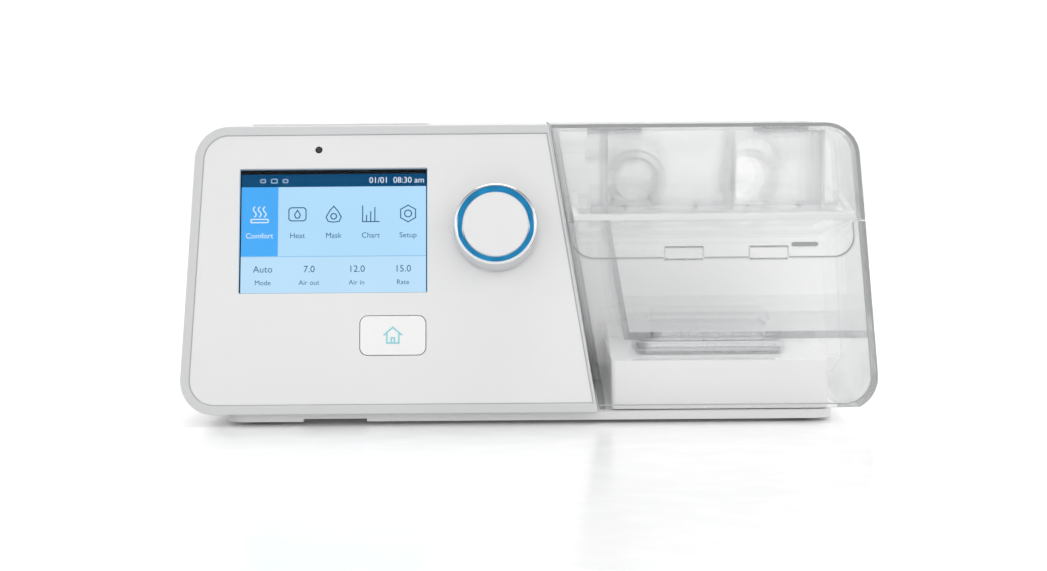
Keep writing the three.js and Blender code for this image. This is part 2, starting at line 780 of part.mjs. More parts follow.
// The place of one latch in the flap, open at the flap's lower edge.
function latchGap(u) {
  const upper = toPanel(panelPrism(latchRect(u, 2 * gap), -4, 4, 3));
  const mouth = roundedRect(u, latch.v0 - 1, latch.w + 2 * gap, 4, 0.4);
  return union(upper, toPanel(panelPrism(mouth, -4, 4, 2)));
}

function tankLid() {
  const flapPlate = common(prismY(flapOutline(), -depth, 60), slab(innerLayer - sheetT, 0));
  const knuckles = knuckleRanges.map(([x0, x1]) =>
    union(
      cylinderX(x0, x1, hinge.y, hinge.z, hinge.r),
      block(x0, x1, backEdge - 3, hinge.y, hinge.z - 0.2, hinge.z + 2.6),
    ),
  );
  const body = union(lidShell(), flapPlate, ...knuckles);
  return minus(body, ...latch.us.map(latchGap), pinBore());
}

// A box without a back that hangs inside the lid: it turns the air down through two holes in its floor.
function lidBaffle() {
  const [x0, x1, y0, y1, z0, z1] = [29.8, 117, -24, 30, 79.2, 109.6];
  const [t, dividerX] = [2, 80];
  const walls = union(
    block(x0, x0 + t, y0, y1, z0, z1),
    block(x1 - t, x1, y0, y1, z0, z1),
    block(x0, x1, y0, y0 + t, z0, z1),
    block(dividerX, dividerX + t, y0, y1 - 10, z0, z1),
  );
  const floor = minus(
    block(x0 - 5, x1 + 4, y0 - 8, y1, z0, z0 + t),
    prismZ(roundedRect(53, 2, 30, 22, 5), 0, 200),
    prismZ(roundedRect(98, 2, 22, 22, 5), 0, 200),
  );
  return union(walls, floor);
}

function lidSeal() {
  const inside = common(
    prismY(bodyOutline(sheetT + gap), -depth, sealY),
    rightOf(tankSide + tankWall + gap),
    behindFront(-sheetT - gap),
  );
  const hollow = common(
    prismY(bodyOutline(5.6), -depth, sealY - 2.6),
    rightOf(tankSide + tankWall + 2.6),
    behindFront(-5.8),
  );
  return common(minus(inside, hollow), above(75.9), below(78.1));
}

part("tank_body", tankBody(), materials.clear);
const heatPlate = union(heaterPlate(3, 6, 28.5, 29.7), heaterPlate(13, 4.5, 29, 32.4));
const plateSeal = minus(heaterPlate(3, 6, 29.98, 30.72), heaterPlate(11.4, 3.2, 29, 32));
part("tank_heat_plate", heatPlate, materials.steel);
part("plate_seal", plateSeal, materials.silicone);
[earRanges[0][0], earRanges[2][0]].forEach((x0, i) => {
  const pin = cylinderX(x0, x0 + 22.6, hinge.y, hinge.z, hinge.pinR, 16);
  part("hinge_pin_" + ["left", "right"][i], pin, materials.steel);
});
part("tank_lid", tankLid(), materials.clear);
part("lid_seal", lidSeal(), materials.silicone);
part("lid_baffle", lidBaffle(), materials.clear);
latch.us.forEach((u, i) => {
  inPanel("lid_latch_" + ["left", "right"][i], panelPrism(latchRect(u, 0), -2.1, 0, 3), materials.clear);
});

export default ventilator;
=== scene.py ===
"""A bedside bilevel ventilator with its water tank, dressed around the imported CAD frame.

Lengths are in millimetres until a mesh is made, and the mesh itself is in metres.
"""

import json
from math import atan2, cos, hypot, pi, radians, sin, tan

import bmesh
import bpy
from mathutils import Matrix, Vector


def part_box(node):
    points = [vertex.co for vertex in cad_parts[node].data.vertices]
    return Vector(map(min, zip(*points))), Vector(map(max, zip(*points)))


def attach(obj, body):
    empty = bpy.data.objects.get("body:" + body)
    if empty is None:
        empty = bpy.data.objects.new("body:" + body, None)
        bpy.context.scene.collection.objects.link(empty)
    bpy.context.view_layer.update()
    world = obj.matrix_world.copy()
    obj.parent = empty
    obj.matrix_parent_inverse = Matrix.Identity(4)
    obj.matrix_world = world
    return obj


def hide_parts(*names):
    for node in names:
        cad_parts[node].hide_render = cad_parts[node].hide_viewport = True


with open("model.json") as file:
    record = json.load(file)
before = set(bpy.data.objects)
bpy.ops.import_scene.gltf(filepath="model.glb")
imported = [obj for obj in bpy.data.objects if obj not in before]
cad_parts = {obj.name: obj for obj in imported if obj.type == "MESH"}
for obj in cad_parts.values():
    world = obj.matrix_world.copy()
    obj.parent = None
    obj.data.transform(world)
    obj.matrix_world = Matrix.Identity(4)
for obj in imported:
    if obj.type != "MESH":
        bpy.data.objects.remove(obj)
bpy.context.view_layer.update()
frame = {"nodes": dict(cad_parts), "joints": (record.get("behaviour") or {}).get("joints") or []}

# ---- Dimensions, all read from the frame or chosen as clearances ----
MM = 0.001
GAP = 0.3
CURVE = 18  # steps in a quarter turn
TURN = 96  # steps in a full turn
BEVEL_ANGLE = radians(30)


def box_mm(node):
    low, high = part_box(node)
    return low / MM, high / MM


def joint(name):
    return next(j for j in frame["joints"] if j["name"] == name)


SHELL_LOW, SHELL_HIGH = box_mm("rear_panel")
HALF_W, TOP, BOTTOM = SHELL_HIGH.x, SHELL_HIGH.z, SHELL_LOW.z
BACK, REAR = SHELL_HIGH.y, SHELL_LOW.y
FRONT = box_mm("main_casing")[0].y
PUSH = Vector(joint("knob_push")["axis"])
LEAN = atan2(-PUSH.z, PUSH.y)
FLARE = radians(2.8)
CORNER = 13.0
WALL = 2.6
RIM = 3.4
SEAM_TOP = box_mm("dock_housing")[0].x - GAP
SEAM_SLOPE = (box_mm("main_casing")[1].x + GAP - SEAM_TOP) / (TOP - BOTTOM)
FAR = 400.0  # beyond every edge of the object

PLAN = Matrix.Identity(4)
ELEVATION = Matrix.Rotation(pi / 2, 4, "X")
PANEL = Matrix.Translation((0, FRONT, BOTTOM)) @ Matrix.Rotation(pi / 2 - LEAN, 4, "X")


def panel_box(node):
    """The node's lowest and highest corners in the leaning front's own frame."""
    inverse = PANEL.inverted()
    points = [inverse @ (v.co / MM) for v in frame["nodes"][node].data.vertices]
    low = Vector([min(p[i] for p in points) for i in range(3)])
    high = Vector([max(p[i] for p in points) for i in range(3)])
    return low, high


# ---- Outlines ----
def arc(x, y, r, start, end, steps=CURVE):
    angles = [start + (end - start) * i / steps for i in range(steps + 1)]
    return [(x + r * cos(a), y + r * sin(a)) for a in angles]


def rect(x0, x1, y0, y1, r=0.6, steps=8):
    r = min(r, (x1 - x0) / 2 - 1e-3, (y1 - y0) / 2 - 1e-3)
    return (
        arc(x1 - r, y0 + r, r, -pi / 2, 0, steps)
        + arc(x1 - r, y1 - r, r, 0, pi / 2, steps)
        + arc(x0 + r, y1 - r, r, pi / 2, pi, steps)
        + arc(x0 + r, y0 + r, r, pi, 1.5 * pi, steps)
    )


def centred(x, y, w, h, r=0.6, steps=8):
    return rect(x - w / 2, x + w / 2, y - h / 2, y + h / 2, r, steps)


def body_outline(inset=0.0):
    """The front silhouette, a trapezium with round corners, moved in by inset."""
    low_x, low_z, high_z = HALF_W - CORNER, BOTTOM + CORNER, TOP - CORNER
    high_x = low_x - (high_z - low_z) * tan(FLARE)
    r = CORNER - inset
    return (
        arc(low_x, low_z, r, -pi / 2, FLARE)
        + arc(high_x, high_z, r, FLARE, pi / 2)
        + arc(-high_x, high_z, r, pi / 2, pi - FLARE)
        + arc(-low_x, low_z, r, pi - FLARE, 1.5 * pi)
    )


def seam_x(z):
    return SEAM_TOP + (TOP - z) * SEAM_SLOPE


# ---- Solids ----
def solid(points, faces):
    mesh = bpy.data.meshes.new("solid")
    mesh.from_pydata([Vector(p) * MM for p in points], [], faces)
    bm = bmesh.new()
    bm.from_mesh(mesh)
    bmesh.ops.remove_doubles(bm, verts=bm.verts, dist=1e-7)
    bmesh.ops.recalc_face_normals(bm, faces=bm.faces)
    bm.to_mesh(mesh)
    bm.free()
    body = bpy.data.objects.new("solid", mesh)
    bpy.context.scene.collection.objects.link(body)
    return body


def prism(outline, w0, w1, place=PLAN):
    """An outline drawn out from w0 to w1 in the frame that place stands for."""
    n = len(outline)
    points = [place @ Vector((u, v, w)) for w in (w0, w1) for u, v in outline]
    sides = [(i, (i + 1) % n, n + (i + 1) % n, n + i) for i in range(n)]
    return solid(points, [tuple(range(n))[::-1], tuple(range(n, 2 * n)), *sides])


def across(outline, y0, y1):
    return prism(outline, -y1, -y0, ELEVATION)


def block(x0, x1, y0, y1, z0, z1):
    return prism([(x0, y0), (x1, y0), (x1, y1), (x0, y1)], z0, z1)


def lathe(profile, place=PLAN, steps=TURN):
    """A closed profile of (radius, height) pairs turned about the place's own Z."""
    n = len(profile)
    points = [
        place @ Vector((r * cos(a), r * sin(a), z))
        for a in (2 * pi * i / steps for i in range(steps))
        for r, z in profile
    ]
    faces = []
    for i in range(steps):
        a, b = i * n, (i + 1) % steps * n
        for k in range(n):
            m = (k + 1) % n
            if profile[k][0] > 0 or profile[m][0] > 0:
                faces.append((a + k, b + k, b + m, a + m))
    return solid(points, faces)


def round_y(x, z, y0, y1, r, steps=64):
    return across(arc(x, z, r, 0, 2 * pi * (1 - 1 / steps), steps - 1), y0, y1)


def round_x(x0, x1, y, z, r, steps=48):
    turn = Matrix.Rotation(pi / 2, 4, "Y")
    place = Matrix.Translation((x0, y, z)) @ turn
    return prism(arc(0, 0, r, 0, 2 * pi * (1 - 1 / steps), steps - 1), 0, x1 - x0, place)


def round_z(x, y, z0, z1, r, steps=64):
    return prism(arc(x, y, r, 0, 2 * pi * (1 - 1 / steps), steps - 1), z0, z1)


def slab(w0, w1):
    """All of the room between two planes parallel to the leaning front."""
    return prism([(-FAR, -FAR), (FAR, -FAR), (FAR, FAR), (-FAR, FAR)], w0, w1, PANEL)


def behind_front(w=0.0):
    return slab(w - FAR, w)


def beside_seam(side, offset):
    low, high = -20.0, TOP + 20.0
    outline = [
        (seam_x(low) + side * offset, low),
        (side * FAR, low),
        (side * FAR, high),
        (seam_x(high) + side * offset, high),
    ]
    return across(outline, -FAR, FAR)


def left_of(offset):
    return beside_seam(-1, offset)


def right_of(offset):
    return beside_seam(1, offset)


def above(z):
    return block(-FAR, FAR, -FAR, FAR, z, FAR)


def below(z):
    return block(-FAR, FAR, -FAR, FAR, -FAR, z)


def boolean(kind, body, tools):
    for tool in tools:
        modifier = body.modifiers.new("boolean", "BOOLEAN")
        modifier.operation = kind
        modifier.object = tool
        modifier.solver = "MANIFOLD"
    graph = bpy.context.evaluated_depsgraph_get()
    mesh = bpy.data.meshes.new_from_object(body.evaluated_get(graph))
    body.modifiers.clear()
    body.data = mesh
    for tool in tools:
        bpy.data.objects.remove(tool)
    return body


def cut(body, *tools):
    return boolean("DIFFERENCE", body, tools)


def join(body, *tools):
    return boolean("UNION", body, tools)


def common(body, *tools):
    return boolean("INTERSECT", body, tools)


# ---- Placing a piece ----
def soften(body, width, finish, segments=3):
    """Real rounded edges of that width, with flat faces kept flat."""
    bm = bmesh.new()
    bm.from_mesh(body.data)
    bmesh.ops.dissolve_limit(bm, angle_limit=radians(0.4), verts=bm.verts, edges=bm.edges)
    bm.to_mesh(body.data)
    bm.free()
    body.data.shade_smooth()
    if width > 0:
        bevel = body.modifiers.new("edges", "BEVEL")
        bevel.width = width * MM
        bevel.segments = segments
        bevel.limit_method = "ANGLE"
        bevel.angle_limit = BEVEL_ANGLE
        bevel.miter_outer = "MITER_ARC"
    else:
        body.data.set_sharp_from_angle(angle=BEVEL_ANGLE)
    if finish == CLEAR:
        body.data.shade_flat()
        return
    normals = body.modifiers.new("normals", "WEIGHTED_NORMAL")
    normals.keep_sharp = True


def place(name, body, rides_on, finish, slot_name, width=0.3, nodes=None):
    """Names a finished solid, gives it its finish and stands it for its CAD nodes."""
    soften(body, width, finish)
    body.name = name
    body.data.name = name
    body.data.materials.clear()
    body.data.materials.append(finish)
    see_through = finish in (CLEAR, WINDOW)
    body.visible_shadow = not see_through
    body.visible_diffuse = not see_through
    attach(body, rides_on)
    if nodes:
        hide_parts(*nodes)
    return body


# ---- Materials ----
class Nodes:
    """Short ways to add the nodes that the finishes share."""

    def __init__(self, name):
        self.material = bpy.data.materials.new(name)
        self.material.use_nodes = True
        self.tree = self.material.node_tree
        self.shader = self.tree.nodes["Principled BSDF"]
        self.output = self.tree.nodes["Material Output"]
        self.place = self.tree.nodes.new("ShaderNodeTexCoord").outputs["Object"]

    def link(self, a, b):
        self.tree.links.new(a, b)

    def noise(self, scale, detail=3.0, stretch=(1, 1, 1)):
        mapping = self.tree.nodes.new("ShaderNodeMapping")
        mapping.inputs["Scale"].default_value = stretch
        self.link(self.place, mapping.inputs["Vector"])
        noise = self.tree.nodes.new("ShaderNodeTexNoise")
        noise.inputs["Scale"].default_value = scale
        noise.inputs["Detail"].default_value = detail
        self.link(mapping.outputs["Vector"], noise.inputs["Vector"])
        return noise.outputs["Fac"]

    def ramp(self, value, low, high, socket):
        node = self.tree.nodes.new("ShaderNodeMapRange")
        node.inputs["From Min"].default_value = 0.3
        node.inputs["From Max"].default_value = 0.7
        node.inputs["To Min"].default_value = low
        node.inputs["To Max"].default_value = high
        self.link(value, node.inputs["Value"])
        self.link(node.outputs["Result"], socket)

    def tint(self, value, first, second, *sockets):
        node = self.tree.nodes.new("ShaderNodeMix")
        node.data_type = "RGBA"
        node.inputs["A"].default_value = (*first, 1)
        node.inputs["B"].default_value = (*second, 1)
        self.link(value, node.inputs["Factor"])
        for socket in sockets:
            self.link(node.outputs["Result"], socket)

    def bump(self, value, distance):
        node = self.tree.nodes.new("ShaderNodeBump")
        node.inputs["Strength"].default_value = 0.5
        node.inputs["Distance"].default_value = distance
        self.link(value, node.inputs["Height"])
        self.link(node.outputs["Normal"], self.shader.inputs["Normal"])


def shade(colour, factor):
    return tuple(c * factor for c in colour)


def plain(name, colour, roughness, metallic=0.0, contrast=0.03, grain=1500.0, relief=6e-6):
    """A moulded or cast finish: faint clouding, uneven gloss and a fine grain."""
    n = Nodes(name)
    n.shader.inputs["Metallic"].default_value = metallic
    n.shader.inputs["IOR"].default_value = 1.46
    cloud = n.noise(22.0)
    n.tint(cloud, shade(colour, 1 - contrast), shade(colour, 1 + contrast), n.shader.inputs["Base Color"])
    n.ramp(n.noise(60.0), roughness * 0.9, roughness * 1.1, n.shader.inputs["Roughness"])
    n.bump(n.noise(grain, 2.0), relief)
    return n.material


def brushed(name, colour, roughness, stretch):
    """Metal with fine lines along one direction."""
    n = Nodes(name)
    n.shader.inputs["Metallic"].default_value = 1.0
    lines = n.noise(900.0, 4.0, stretch)
    n.tint(lines, shade(colour, 0.9), shade(colour, 1.06), n.shader.inputs["Base Color"])
    n.ramp(lines, roughness * 0.8, roughness * 1.3, n.shader.inputs["Roughness"])
    n.bump(lines, 4e-6)
    return n.material


def clear(name, colour, roughness, density, tint, ior=1.5, alpha=1.0):
    """Clear moulded plastic whose edges darken as the light passes through more of it."""
    n = Nodes(name)
    n.shader.inputs["Transmission Weight"].default_value = 1.0
    n.shader.inputs["IOR"].default_value = ior
    n.shader.inputs["Alpha"].default_value = alpha
    cloud = n.noise(18.0)
    n.tint(cloud, shade(colour, 0.985), colour, n.shader.inputs["Base Color"])
    n.ramp(n.noise(40.0), roughness * 0.8, roughness * 1.2, n.shader.inputs["Roughness"])
    if density > 0:
        volume = n.tree.nodes.new("ShaderNodeVolumeAbsorption")
        volume.inputs["Color"].default_value = (*tint, 1)
        volume.inputs["Density"].default_value = density
        n.link(volume.outputs["Volume"], n.output.inputs["Volume"])
    return n.material


def glowing(name, colour, strength=1.0, contrast=0.03, scale=35.0):
    """A lit face of the display or the knob's light guide."""
    n = Nodes(name)
    n.shader.inputs["Roughness"].default_value = 0.4
    n.shader.inputs["Specular IOR Level"].default_value = 0.0
    n.shader.inputs["Emission Strength"].default_value = strength
    n.shader.inputs["Base Color"].default_value = (0, 0, 0, 1)
    cloud = n.noise(scale, 1.0)
    low, high = shade(colour, 1 - contrast), shade(colour, 1 + contrast)
    n.tint(cloud, low, high, n.shader.inputs["Emission Color"])
    return n.material


def linear(level):
    share = level / 255
    return share / 12.92 if share <= 0.04 else ((share + 0.055) / 1.055) ** 2.4


def srgb(r, g, b):
    """Linear colour of an 8-bit screen colour."""
    return linear(r), linear(g), linear(b)


WHITE = plain("white_plastic", (0.78, 0.78, 0.785), 0.32)
SHELL = plain("shell_plastic", (0.62, 0.625, 0.63), 0.38)
# Painted light: a near-white, whiter than the panel's white, that makes up for the light lost through the
# clear tank in front of the dock.
DOCK_PAINTED_LIGHT = plain("dock_plastic_painted_light", (0.97, 0.97, 0.97), 0.4, contrast=0.01)
BASE = plain("base_plastic", (0.74, 0.74, 0.74), 0.45)
KEY = plain("key_plastic", (0.86, 0.86, 0.86), 0.3)
DARK = plain("dark_plastic", (0.03, 0.032, 0.036), 0.45)
RUBBER = plain("foot_rubber", (0.2, 0.2, 0.205), 0.7, grain=2500.0, relief=2e-5)
SILICONE = plain("silicone", (0.72, 0.73, 0.73), 0.5)
BOARD = plain("circuit_board", (0.05, 0.2, 0.09), 0.5, contrast=0.12)
FOAM = plain("filter_foam", (0.2, 0.2, 0.205), 0.95, contrast=0.25, grain=700.0, relief=3e-4)
CHROME = plain("chrome", (0.7, 0.71, 0.72), 0.08, metallic=1.0, relief=0.5e-6)
STEEL = brushed("steel", (0.55, 0.56, 0.57), 0.28, (1, 8, 1))
ALUMINIUM = brushed("aluminium", (0.72, 0.73, 0.74), 0.32, (1, 10, 1))
COPPER = brushed("motor_windings", (0.45, 0.3, 0.2), 0.4, (1, 1, 10))
CLEAR = clear("clear_polycarbonate", (0.995, 0.997, 0.997), 0.025, 6.0, (0.48, 0.5, 0.52), 1.5, 0.5)
# Painted shade: a greyer clear finish for the faces seen edge-on, standing in for the dark look of clear
# edges.
CLEAR_EDGE_SHADE = clear("clear_polycarbonate_edge_shade", (0.74, 0.75, 0.76), 0.08, 6.0, (0.48, 0.5, 0.52), 1.5, 0.78)
# Painted shade: an opaque grey for the strips and the plate that stand in for the dark look of clear edges
# and of a slot.
RIM_SHADE = plain("clear_rim_painted_shade", (0.46, 0.465, 0.47), 0.25)
WINDOW = clear("screen_glass", (0.99, 0.99, 0.99), 0.02, 0.0, (1, 1, 1), 1.14)
RING = glowing("light_guide", srgb(38, 128, 178), 1.0, 0.45, 160.0)
SCREEN_COLOURS = {
    "menu": srgb(180, 224, 255),
    "tab": srgb(75, 174, 251),
    "values": srgb(190, 227, 253),
    "status": srgb(2, 71, 116),
    "black": srgb(9, 12, 16),
    "ink": srgb(52, 98, 140),
    "pale": srgb(170, 205, 230),
    "white": srgb(226, 242, 255),
    "line": srgb(150, 200, 238),
    "turquoise": srgb(120, 205, 215),
}
LIT = {name: glowing("lit_" + name, colour) for name, colour in SCREEN_COLOURS.items()}


# ---- Blower unit: shells ----
START_LOW, START_HIGH = box_mm("power_button")


def start_outline(grow=0.0):
    flange = 1.5
    return rect(
        START_LOW.x + flange - grow,
        START_HIGH.x - flange + grow,
        START_LOW.y + flange - grow,
        START_HIGH.y - flange + grow,
        4 + grow,
        CURVE,
    )


def main_casing():
    y1 = box_mm("main_casing")[1].y
    outer = common(across(body_outline(), -FAR, y1), left_of(GAP), behind_front())
    inner = common(
        across(body_outline(WALL), -FAR, FAR), left_of(GAP + WALL), behind_front(-6)
    )
    pocket = common(across(body_outline(RIM), -FAR, 0), left_of(GAP + 1.1), slab(-3.5, 20))
    behind_panel = common(across(body_outline(RIM + 1.5), -FAR, 0), left_of(GAP + WALL), slab(-7, 0))
    opening = prism(start_outline(0.4), TOP - 6, TOP + 6)
    return cut(outer, inner, pocket, behind_panel, opening)


def knob_centre():
    low, high = panel_box("knob_skirt")
    return (low.x + high.x) / 2, (low.y + high.y) / 2


def front_panel():
    low, high = panel_box("front_panel")
    plate = common(
        across(body_outline(RIM + GAP), -FAR, 0),
        left_of(GAP + 1.4),
        slab(low.z, high.z),
    )
    screen_low, screen_high = panel_box("screen_window")
    home_low, home_high = panel_box("home_button")
    sensor_low, sensor_high = panel_box("light_sensor")
    knob_u, knob_v = knob_centre()
    sensor = ((sensor_low + sensor_high) / 2).to_2d()
    full = 2 * pi * (1 - 1 / TURN)
    window = rect(
        screen_low.x - GAP, screen_high.x + GAP, screen_low.y - GAP, screen_high.y + GAP, 0.6
    )
    flange = 1.5
    key = rect(
        home_low.x + flange, home_high.x - flange, home_low.y + flange, home_high.y - flange, 3.2
    )
    return cut(
        plate,
        prism(window, -10, 10, PANEL),
        prism(key, -10, 10, PANEL),
        prism(arc(*sensor, 1.4, 0, full, TURN - 1), -10, 10, PANEL),
        prism(arc(knob_u, knob_v, 6, 0, full, TURN - 1), -10, 10, PANEL),
    )


def slots(node_x, low_z, pitch, count, length, height=2.4):
    """A column of level slots through the back."""
    return [
        across(centred(node_x, low_z + i * pitch, length, height, 1.19, 6), 60, 80)
        for i in range(count)
    ]


def rear_panel():
    outlet_low, outlet_high = box_mm("outlet_port")
    outlet = (outlet_low + outlet_high) / 2
    jack_low, jack_high = box_mm("dc_inlet")
    card_low, card_high = box_mm("sd_card")
    door_low, door_high = box_mm("filter_cover")
    seat = rect(door_low.x - 0.4, door_high.x + 0.4, door_low.z - 0.4, door_high.z + 0.4, 4)
    lip = 3.1
    window = rect(door_low.x + lip, door_high.x - lip, door_low.z + lip, door_high.z - lip, 3)
    jack = rect(jack_low.x - 0.5, jack_high.x + 0.5, jack_low.z - 0.5, jack_high.z + 0.5, 0.6)
    card = rect(card_low.x - 0.5, card_high.x + 0.5, card_low.z - 0.55, card_high.z + 0.55, 0.5)
    return cut(
        across(body_outline(), REAR, BACK),
        across(seat, BACK - 1.3, BACK + 5),
        across(window, 60, 80),
        across(jack, 60, 80),
        across(card, 60, 80),
        round_y(outlet.x, outlet.z, 60, 80, 18.5 + 3 * GAP, TURN),
        *slots(60, 30, 7, 5, 30),
    )


STRAP_NOTCH_X = (-85.8, -61.6)
STRAP_NOTCH_DEPTH = -46


def base_tray():
    low, high = box_mm("base_tray")
    underside = low.z + 0.8
    tray = prism(rect(low.x, high.x, low.y, high.y, 9, CURVE), underside, high.z)
    tools = [block(*STRAP_NOTCH_X, -FAR, STRAP_NOTCH_DEPTH, -1, 2.4)]
    for i in range(1, 5):
        foot_low, foot_high = box_mm(f"foot_{i}")
        screw_low, screw_high = box_mm(f"base_screw_{i}")
        foot, screw = (foot_low + foot_high) / 2, (screw_low + screw_high) / 2
        tools.append(round_z(foot.x, foot.y, -1, foot_high.z + GAP, 7.4))
        tools.append(round_z(screw.x, screw.y, -1, 2.7, 3.1))
        tools.append(round_z(screw.x, screw.y, -1, 9, 1.8))
    return cut(tray, *tools)


def foot(i):
    low, high = box_mm(f"foot_{i}")
    centre, r = (low + high) / 2, (high.x - low.x) / 2
    profile = [(0, 0), (r - 1.2, 0), (r - 0.4, 0.35), (r, 1.1), (r, high.z), (0, high.z)]
    return lathe(profile, Matrix.Translation((centre.x, centre.y, 0)))


def filter_cover():
    low, high = box_mm("filter_cover")
    x, z = (low.x + high.x) / 2, (low.z + high.z) / 2
    pitch, count = 6, 7
    door = across(rect(low.x, high.x, low.z, high.z, 3.6), low.y, high.y)
    return cut(door, *slots(x, z - (count - 1) / 2 * pitch, pitch, count, 34))


def outlet_port():
    low, high = box_mm("outlet_port")
    x, z = (low.x + high.x) / 2, (low.z + high.z) / 2
    cup, bore = 18.5, 9.4
    profile = [
        (bore, low.y),
        (bore + 2.4, low.y),
        (bore + 2.4, 49),
        (cup, 49),
        (cup, high.y - 0.5),
        (cup - 0.4, high.y),
        (cup - 1.1, high.y),
        (cup - 1.5, high.y - 0.5),
        (cup - 1.5, 51),
        (11.2, 51),
        (11, high.y - 1.2),
        (10.5, high.y - 0.2),
        (9.9, high.y),
        (bore, high.y - 0.5),
    ]
    turn = Matrix.Rotation(-pi / 2, 4, "X")
    return lathe(profile, Matrix.Translation((x, 0, z)) @ turn)


def dc_inlet():
    low, high = box_mm("dc_inlet")
    x, z = (low.x + high.x) / 2, (low.z + high.z) / 2
    shell = cut(
        across(rect(low.x, high.x, low.z, high.z, 1.2), low.y, high.y),
        round_y(x, z, 60, 80, 3.4),
    )
    return join(shell, round_y(x, z, 59, BACK - 2, 1, 32))


def panel_gasket():
    """Fills the gap round the panel a little below its face."""
    ring = common(across(body_outline(RIM), -FAR, 0), left_of(GAP + 1.1), slab(-3.0, -0.8))
    return cut(ring, common(across(body_outline(RIM + GAP), -FAR, 0), left_of(GAP + 1.4)))


place("main_casing_look", main_casing(), "root", SHELL, "casing", 0.7, ["main_casing"])
place("panel_gasket_look", panel_gasket(), "root", SHELL, "casing", 0.0)
place("front_panel_look", front_panel(), "root", WHITE, "panel", 0.35, ["front_panel"])
place("rear_panel_look", rear_panel(), "root", SHELL, "casing", 0.5, ["rear_panel"])
place("base_tray_look", base_tray(), "root", BASE, "base", 0.6, ["base_tray"])
place("filter_cover_look", filter_cover(), "filter_door", SHELL, "casing", 0.25, ["filter_cover"])
place("outlet_port_look", outlet_port(), "root", WHITE, "panel", 0.0, ["outlet_port"])
place("dc_inlet_look", dc_inlet(), "root", DARK, "dark_plastic", 0.3, ["dc_inlet"])
for i in range(1, 5):
    place(f"foot_{i}_look", foot(i), "root", RUBBER, "foot_rubber", 0.0, [f"foot_{i}"])


# ---- Start bar, home key and light sensor ----
def start_bar():
    skirt = START_LOW.z + 1.1
    flange = rect(START_LOW.x, START_HIGH.x, START_LOW.y, START_HIGH.y, 5, CURVE)
    return join(
        prism(start_outline(), START_LOW.z + 0.4, START_HIGH.z),
        prism(flange, START_LOW.z, skirt),
    )


def home_key():
    low, high = panel_box("home_button")
    flange = 1.5 + GAP
    cap = rect(low.x + flange, high.x - flange, low.y + flange, high.y - flange, 2.9, CURVE)
    skirt = rect(low.x, high.x, low.y, high.y, 4, CURVE)
    return join(prism(cap, low.z + 0.5, high.z, PANEL), prism(skirt, low.z, low.z + 1, PANEL))


def light_sensor():
    low, high = panel_box("light_sensor")
    x, y, r = (low.x + high.x) / 2, (low.y + high.y) / 2, (high.x - low.x) / 2
    profile = [(0, low.z), (r, low.z), (r, high.z - 0.3), (r - 0.3, high.z), (0, high.z)]
    return lathe(profile, PANEL @ Matrix.Translation((x, y, 0)), 48)


place("start_bar_look", start_bar(), "start_bar", WHITE, "button", 0.6, ["power_button"])
place("home_key_look", home_key(), "home_key", KEY, "button", 0.35, ["home_button"])
place("light_sensor_look", light_sensor(), "root", DARK, "dark_plastic", 0.0, ["light_sensor"])


# ---- Knob ----
KNOB = PANEL @ Matrix.Translation((*knob_centre(), 0))


def knob_skirt():
    low, high = panel_box("knob_skirt")
    r, top, ring = (high.x - low.x) / 2, high.z, 14.85
    shaft, web = 3.3, 7.4
    round_r = 1.15
    edge = arc(r - round_r, top - round_r, round_r, 0, pi / 2, 8)
    return lathe(
        [
            (shaft, low.z + 1.1),
            (r - 2.2, low.z + 1.1),
            (r - 2.2, low.z),
            (r - 0.3, low.z),
            (r, low.z + 0.3),
            *edge,
            (ring, top - 0.3),
            (ring, web),
            (shaft, web),
        ],
        KNOB,
        128,
    )


def knob_light_ring():
    low, high = panel_box("knob_light_ring")
    outer, inner = (high.x - low.x) / 2, 12.95
    return lathe(
        [(inner, low.z), (outer, low.z), (outer, high.z - 0.2), (inner, high.z - 0.9)], KNOB, 128
    )


def knob_cap():
    low, high = panel_box("knob_cap")
    r, top, edge = (high.x - low.x) / 2, high.z, 0.7
    curve = arc(r - edge, top - 0.9, edge, 0, pi / 2, 8)
    return lathe([(0, low.z), (r, low.z), *curve, (r - 4, top - 0.08), (0, top)], KNOB, 128)


place("knob_skirt_look", knob_skirt(), "knob", CHROME, "knob_metal", 0.0, ["knob_skirt"])
place("knob_ring_look", knob_light_ring(), "knob", RING, "light_ring", 0.0, ["knob_light_ring"])
place("knob_cap_look", knob_cap(), "knob", WHITE, "button", 0.0, ["knob_cap"])


# ---- Display ----
SCREEN_LOW, SCREEN_HIGH = panel_box("screen_window")
SCREEN_W, SCREEN_H = SCREEN_HIGH.x - SCREEN_LOW.x, SCREEN_HIGH.y - SCREEN_LOW.y
FACE = panel_box("lcd_module")[1].z - 0.16  # the lit face lies under its printed details
LAYER = 0.03  # thickness of one printed layer on the lit face
FONT_SIZE_PER_CAPITAL = 1.42


def across_screen(fraction):
    return SCREEN_LOW.x + fraction * SCREEN_W


def down_screen(fraction):
    return SCREEN_HIGH.y - fraction * SCREEN_H


def display_frame():
    low, high = panel_box("lcd_module")
    behind = low.z + 4.7
    return join(
        prism(rect(low.x, high.x, low.y, high.y, 1.2), low.z, behind, PANEL),
        prism(
            rect(SCREEN_LOW.x, SCREEN_HIGH.x, SCREEN_LOW.y, SCREEN_HIGH.y, 0.5),
            behind - 1,
            FACE,
            PANEL,
        ),
    )


def band(name, colour, x0, x1, y0, y1, level=1, r=0.05):
    """A lit area of the display, between fractions of its width and height."""
    outline = rect(across_screen(x0), across_screen(x1), down_screen(y1), down_screen(y0), r, 4)
    body = prism(outline, FACE + (level - 1) * LAYER, FACE + level * LAYER, PANEL)
    place(name, body, "root", LIT[colour], "display", 0.0)


